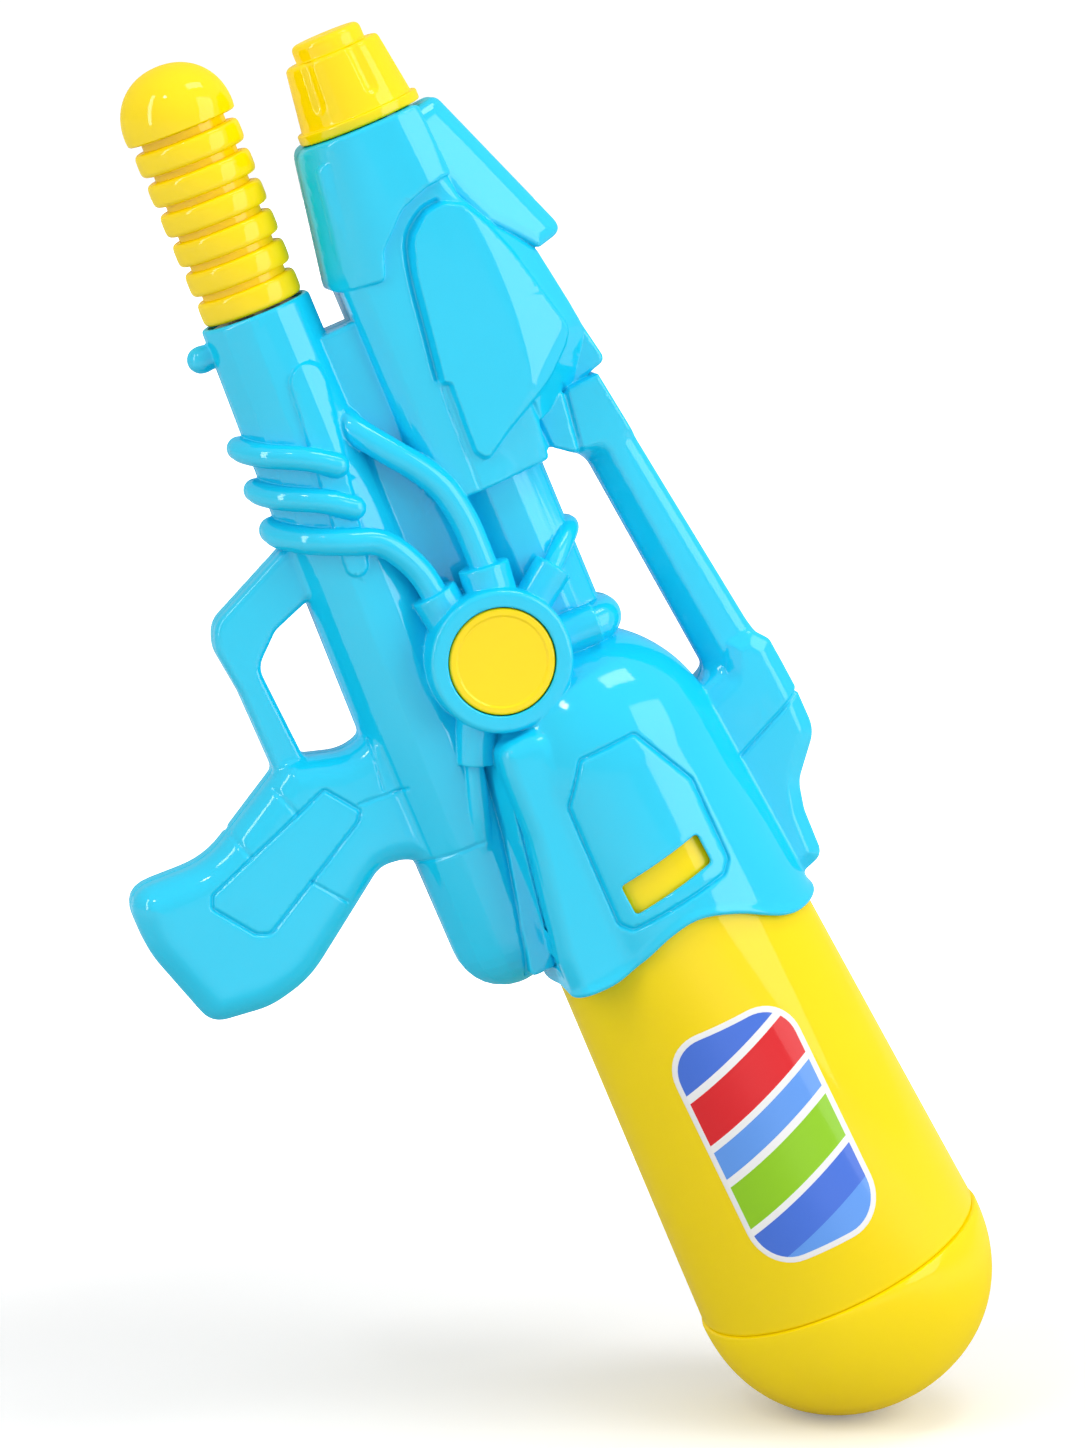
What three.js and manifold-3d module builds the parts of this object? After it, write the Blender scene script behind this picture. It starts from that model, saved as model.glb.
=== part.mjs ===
// Pump water squirter: two screwed half shells round a piston pump, with a screw-on tank at the rear.
// Millimetres. The muzzle points to -X, +Z is up, and the origin is the middle of the hand grip.
import * as THREE from 'three';
import { mergeVertices } from 'three/addons/utils/BufferGeometryUtils.js';
import Module from 'manifold-3d';

const wasm = await Module();
wasm.setup();

// Walls and clearances
const WALL = 2.2;
const GAP = 0.3;
const SEAM_GAP = 0.3;
const TANK_CLEARANCE = 0.6;

// Roundness of the facets
const FINE_SIDES = 28;
const ROUND_SIDES = 18;
const SMALL_SIDES = 8;
const BOSS_SIDES = 8;
const HOSE_SIDES = 8;
const RELIEF_SIDES = 6;
const CORNER_STEPS = 2;
const EDGE_STEPS = 2;
const SHARP_R = 0.05;

// Barrel: its axis lies this far above the middle of the grip
const BARREL_Z = 121;
const BARREL_R = 12.5;
const BARREL_FRONT_X = -105;
const BARREL_REAR_X = 12;
const COWL_FRONT_X = -219;
const COWL_HALF = 25;
const JACKET_HALF = 22.5;
const HOUSING_EDGE = 9;
const LEAF_RELIEF = 1.3;
const FIN_HALF = 7;
const FIN_EDGE = 2.5;

// Nozzle and the stem that it turns on
const NOZZLE_TIP_R = 12;
const NOZZLE_FRONT_R = 16;
const NOZZLE_REAR_R = 19.3;
const NOZZLE_FLANGE_R = 21;
const NOZZLE_FLANGE_LENGTH = 3.6;
const NOZZLE_TIP_LENGTH = 6;
const NOZZLE_CONE_LENGTH = 21.5;
const NOZZLE_FLUTES = 8;
const FLUTE_R = 3;
const FLUTE_DEPTH = 1.4;
const JET_R = 1.3;
const STEM_R = 8;
const STEM_LENGTH = 19;
const STEM_FLANGE_R = 13;
const STEM_FLANGE_LENGTH = 3;
const STEM_TAIL_LENGTH = 12;
const O_RING_WIRE = 2;

// Pump: the tube's mouth, and the droop of its axis to the rear
const MOUTH_X = -176.5;
const MOUTH_Z = 64.7;
const PUMP_DROOP = 1.2;
const TUBE_MOUTH_R = 18.7;
const TUBE_MIDDLE_R = 20.2;
const TUBE_END_R = 18;
const TUBE_LENGTH = 244.5;
const STROKE = 100;
const CYLINDER_BORE_R = 12.9;
const CYLINDER_WALL = 2.2;
const CYLINDER_END = 139;
const CYLINDER_FLOOR = 3;
const GLAND_SETBACK = 1.5;
const GLAND_FLANGE_LENGTH = 6.5;
const GLAND_SPIGOT_LENGTH = 10;
const PISTON_LENGTH = 12;
const PISTON_END_GAP = 2;
const PISTON_RUN_GAP = 0.4;
const RING_RUN_GAP = 0.2;
const ROD_CORE_R = 4.5;
const ROD_ARM_R = 8;
const ROD_ARM_WIDTH = 3;
const ROD_SEAT_DEPTH = 6;

// Pump handle: a ribbed sleeve and a domed end cap
const GRIP_RIBS = 6;
const RIB_PITCH = 10.75;
const RIB_WIDTH = 9.2;
const RIB_FRONT_R = 18;
const RIB_REAR_R = 17;
const GROOVE_R = 15.6;
const SLEEVE_BORE_R = 13;
const SLEEVE_WEB = 4.5;
const SLEEVE_SEAT_R = 9.5;
const DOME_R = 18.8;
const DOME_LENGTH = 21.3;
const PUMP_SCREW_R = 2;
const PUMP_SCREW_HEAD_R = 5;
const PUMP_SCREW_HEAD_LENGTH = 2.5;
const PUMP_SCREW_LENGTH = 16;

// Check valves
const BLOCK_LENGTH = 35;
const BLOCK_TOP = 13;
const CHAMBER_R = 4.4;
const CHAMBER_FLOOR = -4;
const CHAMBER_SPACING = 18;
const BALL_R = 3.6;
const BALL_TRAVEL = 2;
const BALL_SEAT_GAP = 0.2;
const PORT_R = 2.3;
const PORT_DEPTH = -8.5;
const FITTING_FLANGE_R = 6;
const FITTING_FLANGE_LENGTH = 2;
const BARB_R = 2.6;
const BARB_BORE_R = 1.5;
const BARB_LENGTH = 6;
const HOSE_CLEARANCE = 0.4;
const HOSE_WALL = 1.4;

// Tank: its axis rises to the rear from this point of the shroud
const TANK_X = 10;
const TANK_Z = 112;
const TANK_RISE = 3.2;
const TANK_R = 40.9;
const TANK_FLARE = 3.1;
const TANK_WALL = 2.2;
const TANK_SEAM_X = 195.6;
const TANK_DOME_LENGTH = 53.5;
const TANK_DOME_FULLNESS = 2.15;
const TANK_CAP_STEP = 0.8;
const CAP_LIP_LENGTH = 8;
const SHOULDER_X = 8;
const SHOULDER_LENGTH = 9;
const NECK_R = 15;
const NECK_WALL = 2.4;
const NECK_LENGTH = 24;
const GASKET_THICKNESS = 1.6;
const THREAD_PITCH = 6;
const THREAD_TURNS = 1.5;
const THREAD_HEIGHT = 1.6;
const THREAD_CLEARANCE = 0.4;
const THREAD_ROOT_WIDTH = 2.2;
const THREAD_CREST_WIDTH = 1.3;
const SOCKET_WALL = 2.6;
const SOCKET_FLOOR = 6.5;
const SOCKET_FLANGE = 4;
const SOCKET_FLANGE_LENGTH = 2.6;
const BULKHEAD = 3;
const BULKHEAD_LOW_Z = 84;
const DIP_TUBE_R = 3;
const DIP_TUBE_BORE_R = 1.7;
const STRAINER_R = 6;
const STRAINER_LENGTH = 14;

// Shroud
const SHROUD_DOME_LENGTH = 47.7;
const SHROUD_CUT_X = 140;

// Hub on both sides of the body
const HUB_X = -41.3;
const HUB_Z = 91.8;
const HUB_R = 24;
const HUB_HALF = 32;
const HUB_ROUND = 4;
const DISC_R = 17.8;
const DISC_THICKNESS = 3.2;
const DISC_SET_IN = 0.6;
const DISC_PEG_R = 4;
const DISC_PEG_LENGTH = 5;

// Handle, guard, grip and web
const HANDLE_HALF = 12;
const HANDLE_EDGE = 4;
const GUARD_HALF = 8;
const GUARD_EDGE = 2;
const GRIP_HALF = 15;
const GRIP_EDGE = 6;
const WEB_HALF = 12;
const BRIDGE_HALF = 15.5;
const WEB_EDGE = 2;
const PEG_R = 4.6;
const PEG_X = 8.5;
const SLOT_RELIEF = 1;

// Moulded hoses on the sides
const HOSE_R = 4.6;
const LOOP_R = 4.1;
const CHANNEL_R = 4.8;

// Shell screws: where they stand, the casing's half width there, and their sizes
const SCREW_PLACES = [
  [-197, BARREL_Z - 15, COWL_HALF], [-150, BARREL_Z + 28, JACKET_HALF], [-108, MOUTH_Z + 24, WEB_HALF],
  [-55, BARREL_Z + 38, HANDLE_HALF], [32, BARREL_Z + 49, HANDLE_HALF], [-84, 16, GUARD_HALF],
  [-10, 30, GRIP_HALF], [12, -34, GRIP_HALF], [40, MOUTH_Z - 12, TUBE_END_R - 1.4],
];
const SCREW_R = 1.2;
const SCREW_HEAD_R = 3.3;
const SCREW_HEAD_LENGTH = 2;
const SCREW_SEAT_Y = 5.5;
const SCREW_LENGTH = 13;
const SCREW_BOSS_WALL = 1.8;

// Finishes
const BLUE = { color: 0x2fc6ee, roughness: 0.28, metalness: 0 };
const YELLOW = { color: 0xffdc05, roughness: 0.25, metalness: 0 };
const NATURAL = { color: 0xe9ebe6, roughness: 0.45, metalness: 0 };
const RUBBER = { color: 0x1f2022, roughness: 0.8, metalness: 0 };
const CLEAR_HOSE = { color: 0xd7e3e4, roughness: 0.4, metalness: 0 };
const STEEL = { color: 0x9a9da0, roughness: 0.35, metalness: 1 };

const FAR = 400;

// Solids and geometry

// Turns a closed geometry into a solid that can be joined and cut.
function solid(geometry) {
  const bare = new THREE.BufferGeometry();
  bare.setAttribute('position', geometry.getAttribute('position'));
  bare.setIndex(geometry.getIndex());
  const merged = mergeVertices(bare);
  const points = merged.getAttribute('position').array;
  const corners = merged.getIndex().array;
  const faces = [];
  const a = new THREE.Vector3();
  const b = new THREE.Vector3();
  const c = new THREE.Vector3();
  let volume = 0;
  for (let i = 0; i < corners.length; i += 3) {
    const face = [corners[i], corners[i + 1], corners[i + 2]];
    if (new Set(face).size === 3) {
      faces.push(face);
      a.fromArray(points, 3 * face[0]);
      b.fromArray(points, 3 * face[1]);
      c.fromArray(points, 3 * face[2]);
      volume += a.dot(b.cross(c));
    }
  }
  const outward = volume > 0 ? faces : faces.map(([p, q, r]) => [p, r, q]);
  const vertProperties = new Float32Array(points);
  const triVerts = new Uint32Array(outward.flat());
  return new wasm.Manifold(new wasm.Mesh({ numProp: 3, vertProperties, triVerts }));
}

function join(solids) {
  return solids.reduce((whole, next) => whole.add(next));
}

// A named piece with its own material, from a solid.
function piece(name, shape, finish) {
  const { vertProperties, triVerts } = shape.getMesh();
  const geometry = new THREE.BufferGeometry();
  geometry.setAttribute('position', new THREE.BufferAttribute(vertProperties, 3));
  geometry.setIndex(new THREE.BufferAttribute(triVerts, 1));
  geometry.computeVertexNormals();
  const mesh = new THREE.Mesh(geometry, new THREE.MeshStandardMaterial(finish));
  mesh.name = name;
  return mesh;
}

// A body of revolution about the X axis, from [x, radius] points.
function turned(profile, sides) {
  const points = profile.map(([x, r]) => new THREE.Vector2(Math.max(r, 0), x));
  return new THREE.LatheGeometry(points, sides).rotateZ(-Math.PI / 2);
}

// A tube or rod between two stations on the X axis.
function ring(x0, x1, outer, inner, sides) {
  if (inner === 0) {
    return turned([[x0, 0], [x0, outer], [x1, outer], [x1, 0]], sides);
  }
  return turned([[x0, inner], [x0, outer], [x1, outer], [x1, inner], [x0, inner]], sides);
}

// A round rod along Y through (x, z).
function crossRod(x, z, y0, y1, radius, sides) {
  const rod = new THREE.CylinderGeometry(radius, radius, y1 - y0, sides);
  return rod.translate(x, (y0 + y1) / 2, z);
}

// A round rod along Z through (x, y).
function standingRod(x, y, z0, z1, radius, sides) {
  const rod = new THREE.CylinderGeometry(radius, radius, z1 - z0, sides).rotateX(Math.PI / 2);
  return rod.translate(x, y, (z0 + z1) / 2);
}

// The corners [x, z, radius] of an outline, moved in by a distance; the radii follow the move.
function movedIn(corners, distance) {
  const area = corners.reduce((sum, [x, z], i) => {
    const [nextX, nextZ] = corners[(i + 1) % corners.length];
    return sum + x * nextZ - nextX * z;
  }, 0);
  const path = area > 0 ? corners : [...corners].reverse();
  return path.map(([x, z, radius = 0], i) => {
    const [lastX, lastZ] = path.at(i - 1);
    const [nextX, nextZ] = path[(i + 1) % path.length];
    const arriving = new THREE.Vector2(x - lastX, z - lastZ).normalize();
    const leaving = new THREE.Vector2(nextX - x, nextZ - z).normalize();
    const turn = Math.atan2(arriving.cross(leaving), arriving.dot(leaving));
    const inward = new THREE.Vector2(-arriving.y, arriving.x);
    const slide = -distance * Math.tan(turn / 2);
    const point = new THREE.Vector2(x, z).addScaledVector(inward, distance).addScaledVector(arriving, slide);
    const shrunk = radius - Math.sign(turn) * distance;
    return [point.x, point.y, radius > 0 ? Math.max(shrunk, SHARP_R) : 0];
  });
}

// The points of an outline moved in by a distance, with an arc at each rounded corner.
function outlinePoints(corners, distance = 0) {
  const path = movedIn(corners, distance);
  return path.flatMap(([x, z, radius], i) => {
    const here = new THREE.Vector2(x, z);
    const before = new THREE.Vector2(...path.at(i - 1)).sub(here);
    const after = new THREE.Vector2(...path[(i + 1) % path.length]).sub(here);
    if (radius === 0) {
      return [here];
    }
    const room = 0.48 * Math.min(before.length(), after.length());
    const half = Math.acos(before.dot(after) / before.length() / after.length()) / 2;
    const reach = Math.min(radius / Math.tan(half), room);
    const start = before.setLength(reach).add(here);
    const end = after.setLength(reach).add(here);
    return new THREE.QuadraticBezierCurve(start, here, end).getPoints(CORNER_STEPS);
  });
}

// A plate of an outline in the XZ plane with rounded edges, or the same plate set in by a wall.
function plate(corners, half, edge, inset = 0, steps = EDGE_STEPS) {
  const levels = [];
  for (let i = 0; i <= steps; i += 1) {
    const angle = (i / steps) * (Math.PI / 2);
    levels.push([half - inset - edge * (1 - Math.cos(angle)), inset + edge * (1 - Math.sin(angle))]);
  }
  const layers = [...levels.map(([y, d]) => [-y, d]), ...levels.reverse()];
  const rings = layers.map(([y, d]) => outlinePoints(corners, d).map((p) => [p.x, y, p.y]));
  const count = rings[0].length;
  const faces = [];
  for (let i = 0; i + 1 < rings.length; i += 1) {
    for (let j = 0; j < count; j += 1) {
      const p = i * count + j;
      const q = i * count + ((j + 1) % count);
      faces.push(p, p + count, q + count, p, q + count, q);
    }
  }
  const cap = THREE.ShapeUtils.triangulateShape(outlinePoints(corners, layers[0][1]), []);
  const lastRing = (rings.length - 1) * count;
  cap.forEach(([a, b, c]) => faces.push(a, b, c, lastRing + a, lastRing + c, lastRing + b));
  const geometry = new THREE.BufferGeometry();
  geometry.setAttribute('position', new THREE.Float32BufferAttribute(rings.flat(2), 3));
  geometry.setIndex(faces);
  return geometry;
}

// A plain slab of an outline in the XZ plane, from its points.
function slab(points, half) {
  const options = { depth: 2 * half, bevelEnabled: false };
  const geometry = new THREE.ExtrudeGeometry(new THREE.Shape(points), options);
  return geometry.translate(0, 0, -half).rotateX(Math.PI / 2);
}

// A round rod along a smooth curve through points.
function swept(points, radius, steps, sides = HOSE_SIDES) {
  const curve = new THREE.CatmullRomCurve3(points.map((p) => new THREE.Vector3(...p)));
  const circle = new THREE.Shape();
  circle.absarc(0, 0, radius, 0, 2 * Math.PI);
  const options = { steps, extrudePath: curve, bevelEnabled: false, curveSegments: sides / 2 };
  return new THREE.ExtrudeGeometry(circle, options);
}

// A bent pipe along a smooth curve, open at both ends.
function pipe(points, outer, inner, steps) {
  return solid(swept(points, outer, steps)).subtract(solid(swept(points, inner, steps)));
}

// Frames: the pump's axis droops and the tank's axis rises to the rear

function frameAt(x, z, rise) {
  const tilt = new THREE.Matrix4().makeRotationY(THREE.MathUtils.degToRad(-rise));
  return new THREE.Matrix4().makeTranslation(x, 0, z).multiply(tilt);
}

const pumpFrame = frameAt(MOUTH_X, MOUTH_Z, -PUMP_DROOP);
const tankFrame = frameAt(TANK_X, TANK_Z, TANK_RISE);
const barrelFrame = frameAt(0, BARREL_Z, 0);

function inFrame(geometry, frame) {
  return geometry.applyMatrix4(frame);
}

function placedGroup(frame) {
  const group = new THREE.Group();
  group.applyMatrix4(frame);
  return group;
}

// Points [x, z] given from the barrel's axis, as points of the whole object.
function fromBarrel(points) {
  return points.map(([x, z, radius]) => [x, z + BARREL_Z, radius]);
}

// Sizes that follow from the driving ones

const tankRadius = (x) => TANK_R + x * Math.tan(THREE.MathUtils.degToRad(TANK_FLARE));
const shroudRadius = (x) => tankRadius(x) + TANK_CLEARANCE + WALL;
const cylinderR = CYLINDER_BORE_R + CYLINDER_WALL;
const cylinderStart = GLAND_SETBACK + GLAND_FLANGE_LENGTH + GAP;
const pistonEnd = CYLINDER_END - CYLINDER_FLOOR - PISTON_END_GAP;
const pistonStart = pistonEnd - PISTON_LENGTH;
const pistonR = CYLINDER_BORE_R - PISTON_RUN_GAP;
const pistonRingR = CYLINDER_BORE_R - RING_RUN_GAP;
const blockStart = CYLINDER_END + GAP;
const blockR = cylinderR;
const socketBoreR = NECK_R + THREAD_HEIGHT + THREAD_CLEARANCE;
const socketR = socketBoreR + SOCKET_WALL;
const neckFront = SHOULDER_X - NECK_LENGTH;
const socketFloorX = neckFront - GASKET_THICKNESS - 2 * GAP;
const socketFront = socketFloorX - SOCKET_FLOOR;
const spigotX = (socketFront + socketFloorX) / 2;
const bulkheadX = (socketFront + SHOULDER_X) / 2;
const hoseBoreR = BARB_R + HOSE_CLEARANCE;
const hoseR = hoseBoreR + HOSE_WALL;
const nozzleLength = NOZZLE_TIP_LENGTH + NOZZLE_CONE_LENGTH + NOZZLE_FLANGE_LENGTH;
const nozzleBack = COWL_FRONT_X - GAP;
const stemFlangeX = COWL_FRONT_X + WALL + GAP;
const discFaceY = HUB_HALF - DISC_SET_IN;
const discFloorY = discFaceY - DISC_THICKNESS - GAP;

// The inlet chamber stands under the socket's spigot, on the pump's axis frame.
const spigotTop = new THREE.Vector3(spigotX, 0, -socketR).applyMatrix4(tankFrame);
const inletX = spigotTop.clone().applyMatrix4(pumpFrame.clone().invert()).x;
const outletX = inletX - CHAMBER_SPACING;

// Casing forms: each gives its outer solid, and its hollow set in by the wall

const COWL_CORNERS = fromBarrel([
  [COWL_FRONT_X, -24, 6], [-170, -31.5, 4], [-169.5, -10, 3], [-181, -5, 8], [-188, 9, 10],
  [-193, 22, 3], [COWL_FRONT_X, 24, 4],
]);
const JACKET_CORNERS = fromBarrel([
  [-213, -22, 4], [-170, -26, 0], [-93, -26, 6], [-91.5, 15.5, 4], [-107, 16, 4], [-115.5, 46, 4],
  [-135, 41.5, 30], [-160, 38.5, 40], [-214, 25, 4],
]);
const FIN_CORNERS = fromBarrel([
  [COWL_FRONT_X + 0.5, 25.5, 4], [-161, 48.5, 4], [-159.5, 30, 0], [-214, 10, 0],
]);
const LEAF_CORNERS = fromBarrel([
  [-187, 15, 8], [-168, 30, 20], [-137, 35, 14], [-124, 27, 20], [-106, 0, 8], [-108, -9.5, 3],
  [-134, -10, 0], [-134, -7, 0], [-170, -7, 14], [-185, 2, 10],
]);
const HANDLE_CORNERS = fromBarrel([
  [-113, 40, 0], [-13, 56, 40], [-2, 60.5, 20], [12, 62, 0], [28, 62.5, 12], [42, 51, 12], [52, 49, 20],
  [69, 49, 5], [72, 40, 0], [72, 25, 0], [4, 25, 0], [-2, 33, 0], [-6, 37, 5], [-88, 27, 10],
  [-96, 17, 5], [-96, 9, 0], [-112, 9, 0],
]);
const GUARD_CORNERS = [
  [-104, MOUTH_Z - 16, 0], [-87, 11, 12], [-79, 8, 12], [-62, 10, 0], [-18, 10.5, 0], [-18, 22, 0],
  [-68, 19, 8], [-77, 29, 8], [-84, MOUTH_Z - 16, 0],
];
const GRIP_CORNERS = [
  [-36, MOUTH_Z - 14, 0], [-29.8, 35, 16], [-36, 15, 9], [-15, -22, 30], [-16.5, -52, 10], [5, -52, 40],
  [38, -40.5, 10], [40.3, -20, 30], [36, -6, 40], [10.5, 30, 10], [12, 40, 12], [24, MOUTH_Z - 14, 0],
];
const WEB_CORNERS = [
  [-160, MOUTH_Z + 10, 0], [-160, BARREL_Z - 20, 0], [-45, BARREL_Z - 5, 0], [-45, MOUTH_Z + 5, 0],
];
const BRIDGE_CORNERS = [
  [-50, MOUTH_Z, 0], [-50, HUB_Z, 0], [30, HUB_Z - 6, 0], [55, MOUTH_Z, 0],
];
const SHROUD_EDGE = [
  [80, BARREL_Z + 60], [79, BARREL_Z + 37], [76, BARREL_Z + 25], [67, BARREL_Z + 10],
  [62.5, BARREL_Z - 3], [64, BARREL_Z - 14], [70, BARREL_Z - 26], [75, BARREL_Z - 38],
  [76, BARREL_Z - 55], [72, BARREL_Z - 75],
];
const SHROUD_EDGE_STEPS = 22;
const WINDOW_CORNERS = [
  [36, TANK_Z + 16, 1.5], [47, TANK_Z + 17, 1.5], [53, TANK_Z - 13, 1.5], [42, TANK_Z - 14, 1.5],
];

// A casing form that is a plate, with its hollow.
function plateForm(corners, half, edge) {
  return {
    outer: solid(plate(corners, half, edge)),
    hollow: solid(plate(corners.map(([x, z]) => [x, z]), half, edge, WALL, 1)),
  };
}

function pumpTubeForm() {
  const middle = TUBE_LENGTH * 0.5;
  const endStart = TUBE_LENGTH - TUBE_END_R;
  const outer = [[0, 0], [0, TUBE_MOUTH_R - 0.8], [0.8, TUBE_MOUTH_R], [middle * 0.7, TUBE_MIDDLE_R],
    [middle * 1.2, TUBE_MIDDLE_R], [endStart, TUBE_END_R]];
  const hollow = [[-GAP, 0], [-GAP, TUBE_MOUTH_R - WALL], [middle * 0.7, TUBE_MIDDLE_R - WALL],
    [middle * 1.2, TUBE_MIDDLE_R - WALL], [endStart, TUBE_END_R - WALL]];
  const endSteps = 4;
  for (let i = 1; i <= endSteps; i += 1) {
    const angle = (i / endSteps) * (Math.PI / 2);
    outer.push([endStart + TUBE_END_R * Math.sin(angle), TUBE_END_R * Math.cos(angle)]);
    const inside = TUBE_END_R - WALL;
    hollow.push([endStart + inside * Math.sin(angle), inside * Math.cos(angle)]);
  }
  return {
    outer: solid(inFrame(turned(outer, ROUND_SIDES), pumpFrame)),
    hollow: solid(inFrame(turned(hollow, ROUND_SIDES), pumpFrame)),
  };
}

function barrelForm() {
  const outer = ring(BARREL_FRONT_X, BARREL_REAR_X, BARREL_R, 0, ROUND_SIDES);
  const hollow = ring(BARREL_FRONT_X, BARREL_REAR_X, BARREL_R - WALL, 0, ROUND_SIDES);
  return { outer: solid(inFrame(outer, barrelFrame)), hollow: solid(inFrame(hollow, barrelFrame)) };
}

// The shroud follows the tank's flare behind a domed front, and ends in a waved rear edge.
function shroudForm() {
  const domeSteps = 6;
  const outer = [];
  const hollow = [];
  for (let i = 0; i <= domeSteps; i += 1) {
    const angle = (i / domeSteps) * (Math.PI / 2);
    outer.push([-SHROUD_DOME_LENGTH * Math.cos(angle), shroudRadius(0) * Math.sin(angle)]);
    const insideLength = SHROUD_DOME_LENGTH - WALL;
    hollow.push([-insideLength * Math.cos(angle), (shroudRadius(0) - WALL) * Math.sin(angle)]);
  }
  outer.push([SHROUD_CUT_X, shroudRadius(SHROUD_CUT_X)], [SHROUD_CUT_X, 0]);
  hollow.push([SHROUD_CUT_X + 1, shroudRadius(SHROUD_CUT_X + 1) - WALL], [SHROUD_CUT_X + 1, 0]);
  const edge = new THREE.SplineCurve(SHROUD_EDGE.map(([x, z]) => new THREE.Vector2(x, z)));
  const behind = [
    ...edge.getPoints(SHROUD_EDGE_STEPS),
    new THREE.Vector2(FAR, SHROUD_EDGE.at(-1)[1]),
    new THREE.Vector2(FAR, SHROUD_EDGE[0][1]),
  ];
  return {
    outer: solid(inFrame(turned(outer, FINE_SIDES), tankFrame)).subtract(solid(slab(behind, FAR))),
    hollow: solid(inFrame(turned(hollow, FINE_SIDES), tankFrame)),
  };
}

function hubForm() {
  const eased = HUB_ROUND * 0.3;
  const rim = [
    [HUB_R, HUB_HALF - HUB_ROUND], [HUB_R - eased, HUB_HALF - eased], [HUB_R - HUB_ROUND, HUB_HALF],
    [0, HUB_HALF],
  ];
  const profile = [...rim.map(([r, y]) => [r, -y]).reverse(), ...rim];
  const points = profile.map(([r, y]) => new THREE.Vector2(r, y));
  const insideY = discFloorY - WALL;
  return {
    outer: solid(new THREE.LatheGeometry(points, ROUND_SIDES).translate(HUB_X, 0, HUB_Z)),
    hollow: solid(crossRod(HUB_X, HUB_Z, -insideY, insideY, HUB_R - WALL, ROUND_SIDES)),
  };
}

// Moulded relief on one side of the casing: hoses, sleeves and pads. Side is -1 for left and 1 for right.
function sideRelief(side) {
  const tubeTop = pumpFrame;
  const wrapped = (x, degrees, lift) => {
    const angle = THREE.MathUtils.degToRad(degrees);
    const radius = TUBE_MIDDLE_R + lift;
    const point = new THREE.Vector3(x, side * radius * Math.cos(angle), radius * Math.sin(angle));
    return point.applyMatrix4(tubeTop).toArray();
  };
  const loop = (x) => swept([
    wrapped(x, -90, 0.4), wrapped(x + 2, -60, 0.4), wrapped(x + 6, -30, 0.4), wrapped(x + 11, 0, 0.2),
    wrapped(x + 15, 24, -0.6),
  ], LOOP_R, 5, RELIEF_SIDES);
  const fromHub = (x, y, z) => [HUB_X + x, side * y, HUB_Z + z];
  const lowerHose = swept([
    wrapped(70, -90, 0.4), wrapped(72, -60, 0.6), wrapped(75, -30, 0.8), wrapped(80, 0, 1),
    wrapped(88, 24, 1), fromHub(-29, 18, -11), fromHub(-16, 17.5, -8),
  ], LOOP_R + 0.4, 8, RELIEF_SIDES);
  const upperHose = swept([
    fromHub(-85, 9, -15), fromHub(-75, 13, -8), fromHub(-61, 15, 2), fromHub(-43, 16, 10),
    fromHub(-18, 16, 13),
  ], HOSE_R, 5, RELIEF_SIDES);
  const sleeve = (x, z, angle, long, thick) => {
    const box = new THREE.CylinderGeometry(thick, thick, long, HOSE_SIDES);
    return box.rotateZ(Math.PI / 2).rotateY(angle).translate(...fromHub(x, 16, z));
  };
  const channel = swept([
    fromHub(18, 16, -16), fromHub(32, 18, -21), fromHub(62, 17.5, -23.5), fromHub(102, 16, -25.5),
  ], CHANNEL_R, 3, RELIEF_SIDES);
  const overBarrel = swept([
    fromHub(-10, 14, 24), fromHub(-16, 13, 31), fromHub(-23, 8, 40), fromHub(-26, 1, 42),
  ], HOSE_R * 0.75, 3, RELIEF_SIDES);
  const knobPath = [fromHub(8, 13, 26), fromHub(8, 11, 36), fromHub(8, 1, 39.5)];
  const knob = swept(knobPath, HOSE_R * 1.35, 3, RELIEF_SIDES);
  const slot = slab(outlinePoints([
    [MOUTH_X + 19, MOUTH_Z + 12, 7], [MOUTH_X + 90, MOUTH_Z - 1.5, 3], [MOUTH_X + 90, MOUTH_Z - 8, 3],
    [MOUTH_X + 19, MOUTH_Z - 2, 7],
  ]), (TUBE_MIDDLE_R + SLOT_RELIEF) / 2);
  slot.translate(0, side * (TUBE_MIDDLE_R + SLOT_RELIEF) / 2, 0);
  const forms = [
    loop(40), loop(55), lowerHose, upperHose, channel, overBarrel, knob, slot,
    sleeve(-22, 14, 0, 12, 8.2), sleeve(-18, -9, 0, 12, 8.2),
    sleeve(-12, 20, Math.PI / 4, 14, 6.4), sleeve(8, 25, Math.PI / 2, 12, 7.6),
    sleeve(22, -16, Math.PI / 4, 14, 6.6),
  ];
  return join(forms.map(solid));
}

// Ribs inside the casing that hold the pump, the stem and the tank's socket.
function innerRibs() {
  const saddle = (x) => ring(x, x + WALL, TUBE_MIDDLE_R - WALL / 2, cylinderR + GAP, ROUND_SIDES);
  const saddles = [cylinderStart + 12, CYLINDER_END - 12].map((x) => solid(inFrame(saddle(x), pumpFrame)));
  const stemRibX = stemFlangeX + STEM_FLANGE_LENGTH + GAP;
  const stemRib = ring(stemRibX, stemRibX + WALL, 2 * COWL_HALF, BARB_R + GAP * 2, SMALL_SIDES);
  const cowlCore = solid(plate(COWL_CORNERS, COWL_HALF, HOUSING_EDGE, WALL / 2, 1));
  const bulkheadR = shroudRadius(0) - WALL * 0.85;
  const bulkhead = ring(bulkheadX, bulkheadX + BULKHEAD, bulkheadR, socketR + GAP, ROUND_SIDES);
  const above = new THREE.BoxGeometry(FAR, FAR, FAR).translate(0, 0, BULKHEAD_LOW_Z + FAR / 2);
  return join([
    ...saddles,
    solid(inFrame(stemRib, barrelFrame)).intersect(cowlCore),
    solid(inFrame(bulkhead, tankFrame)).intersect(solid(above)),
  ]);
}

// Screw bosses: the left ones take the thread, the right ones the head.
const leftBossR = SCREW_R + GAP + SCREW_BOSS_WALL;
const counterboreR = SCREW_HEAD_R + GAP;
const rightBossR = counterboreR + SCREW_BOSS_WALL;

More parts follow.
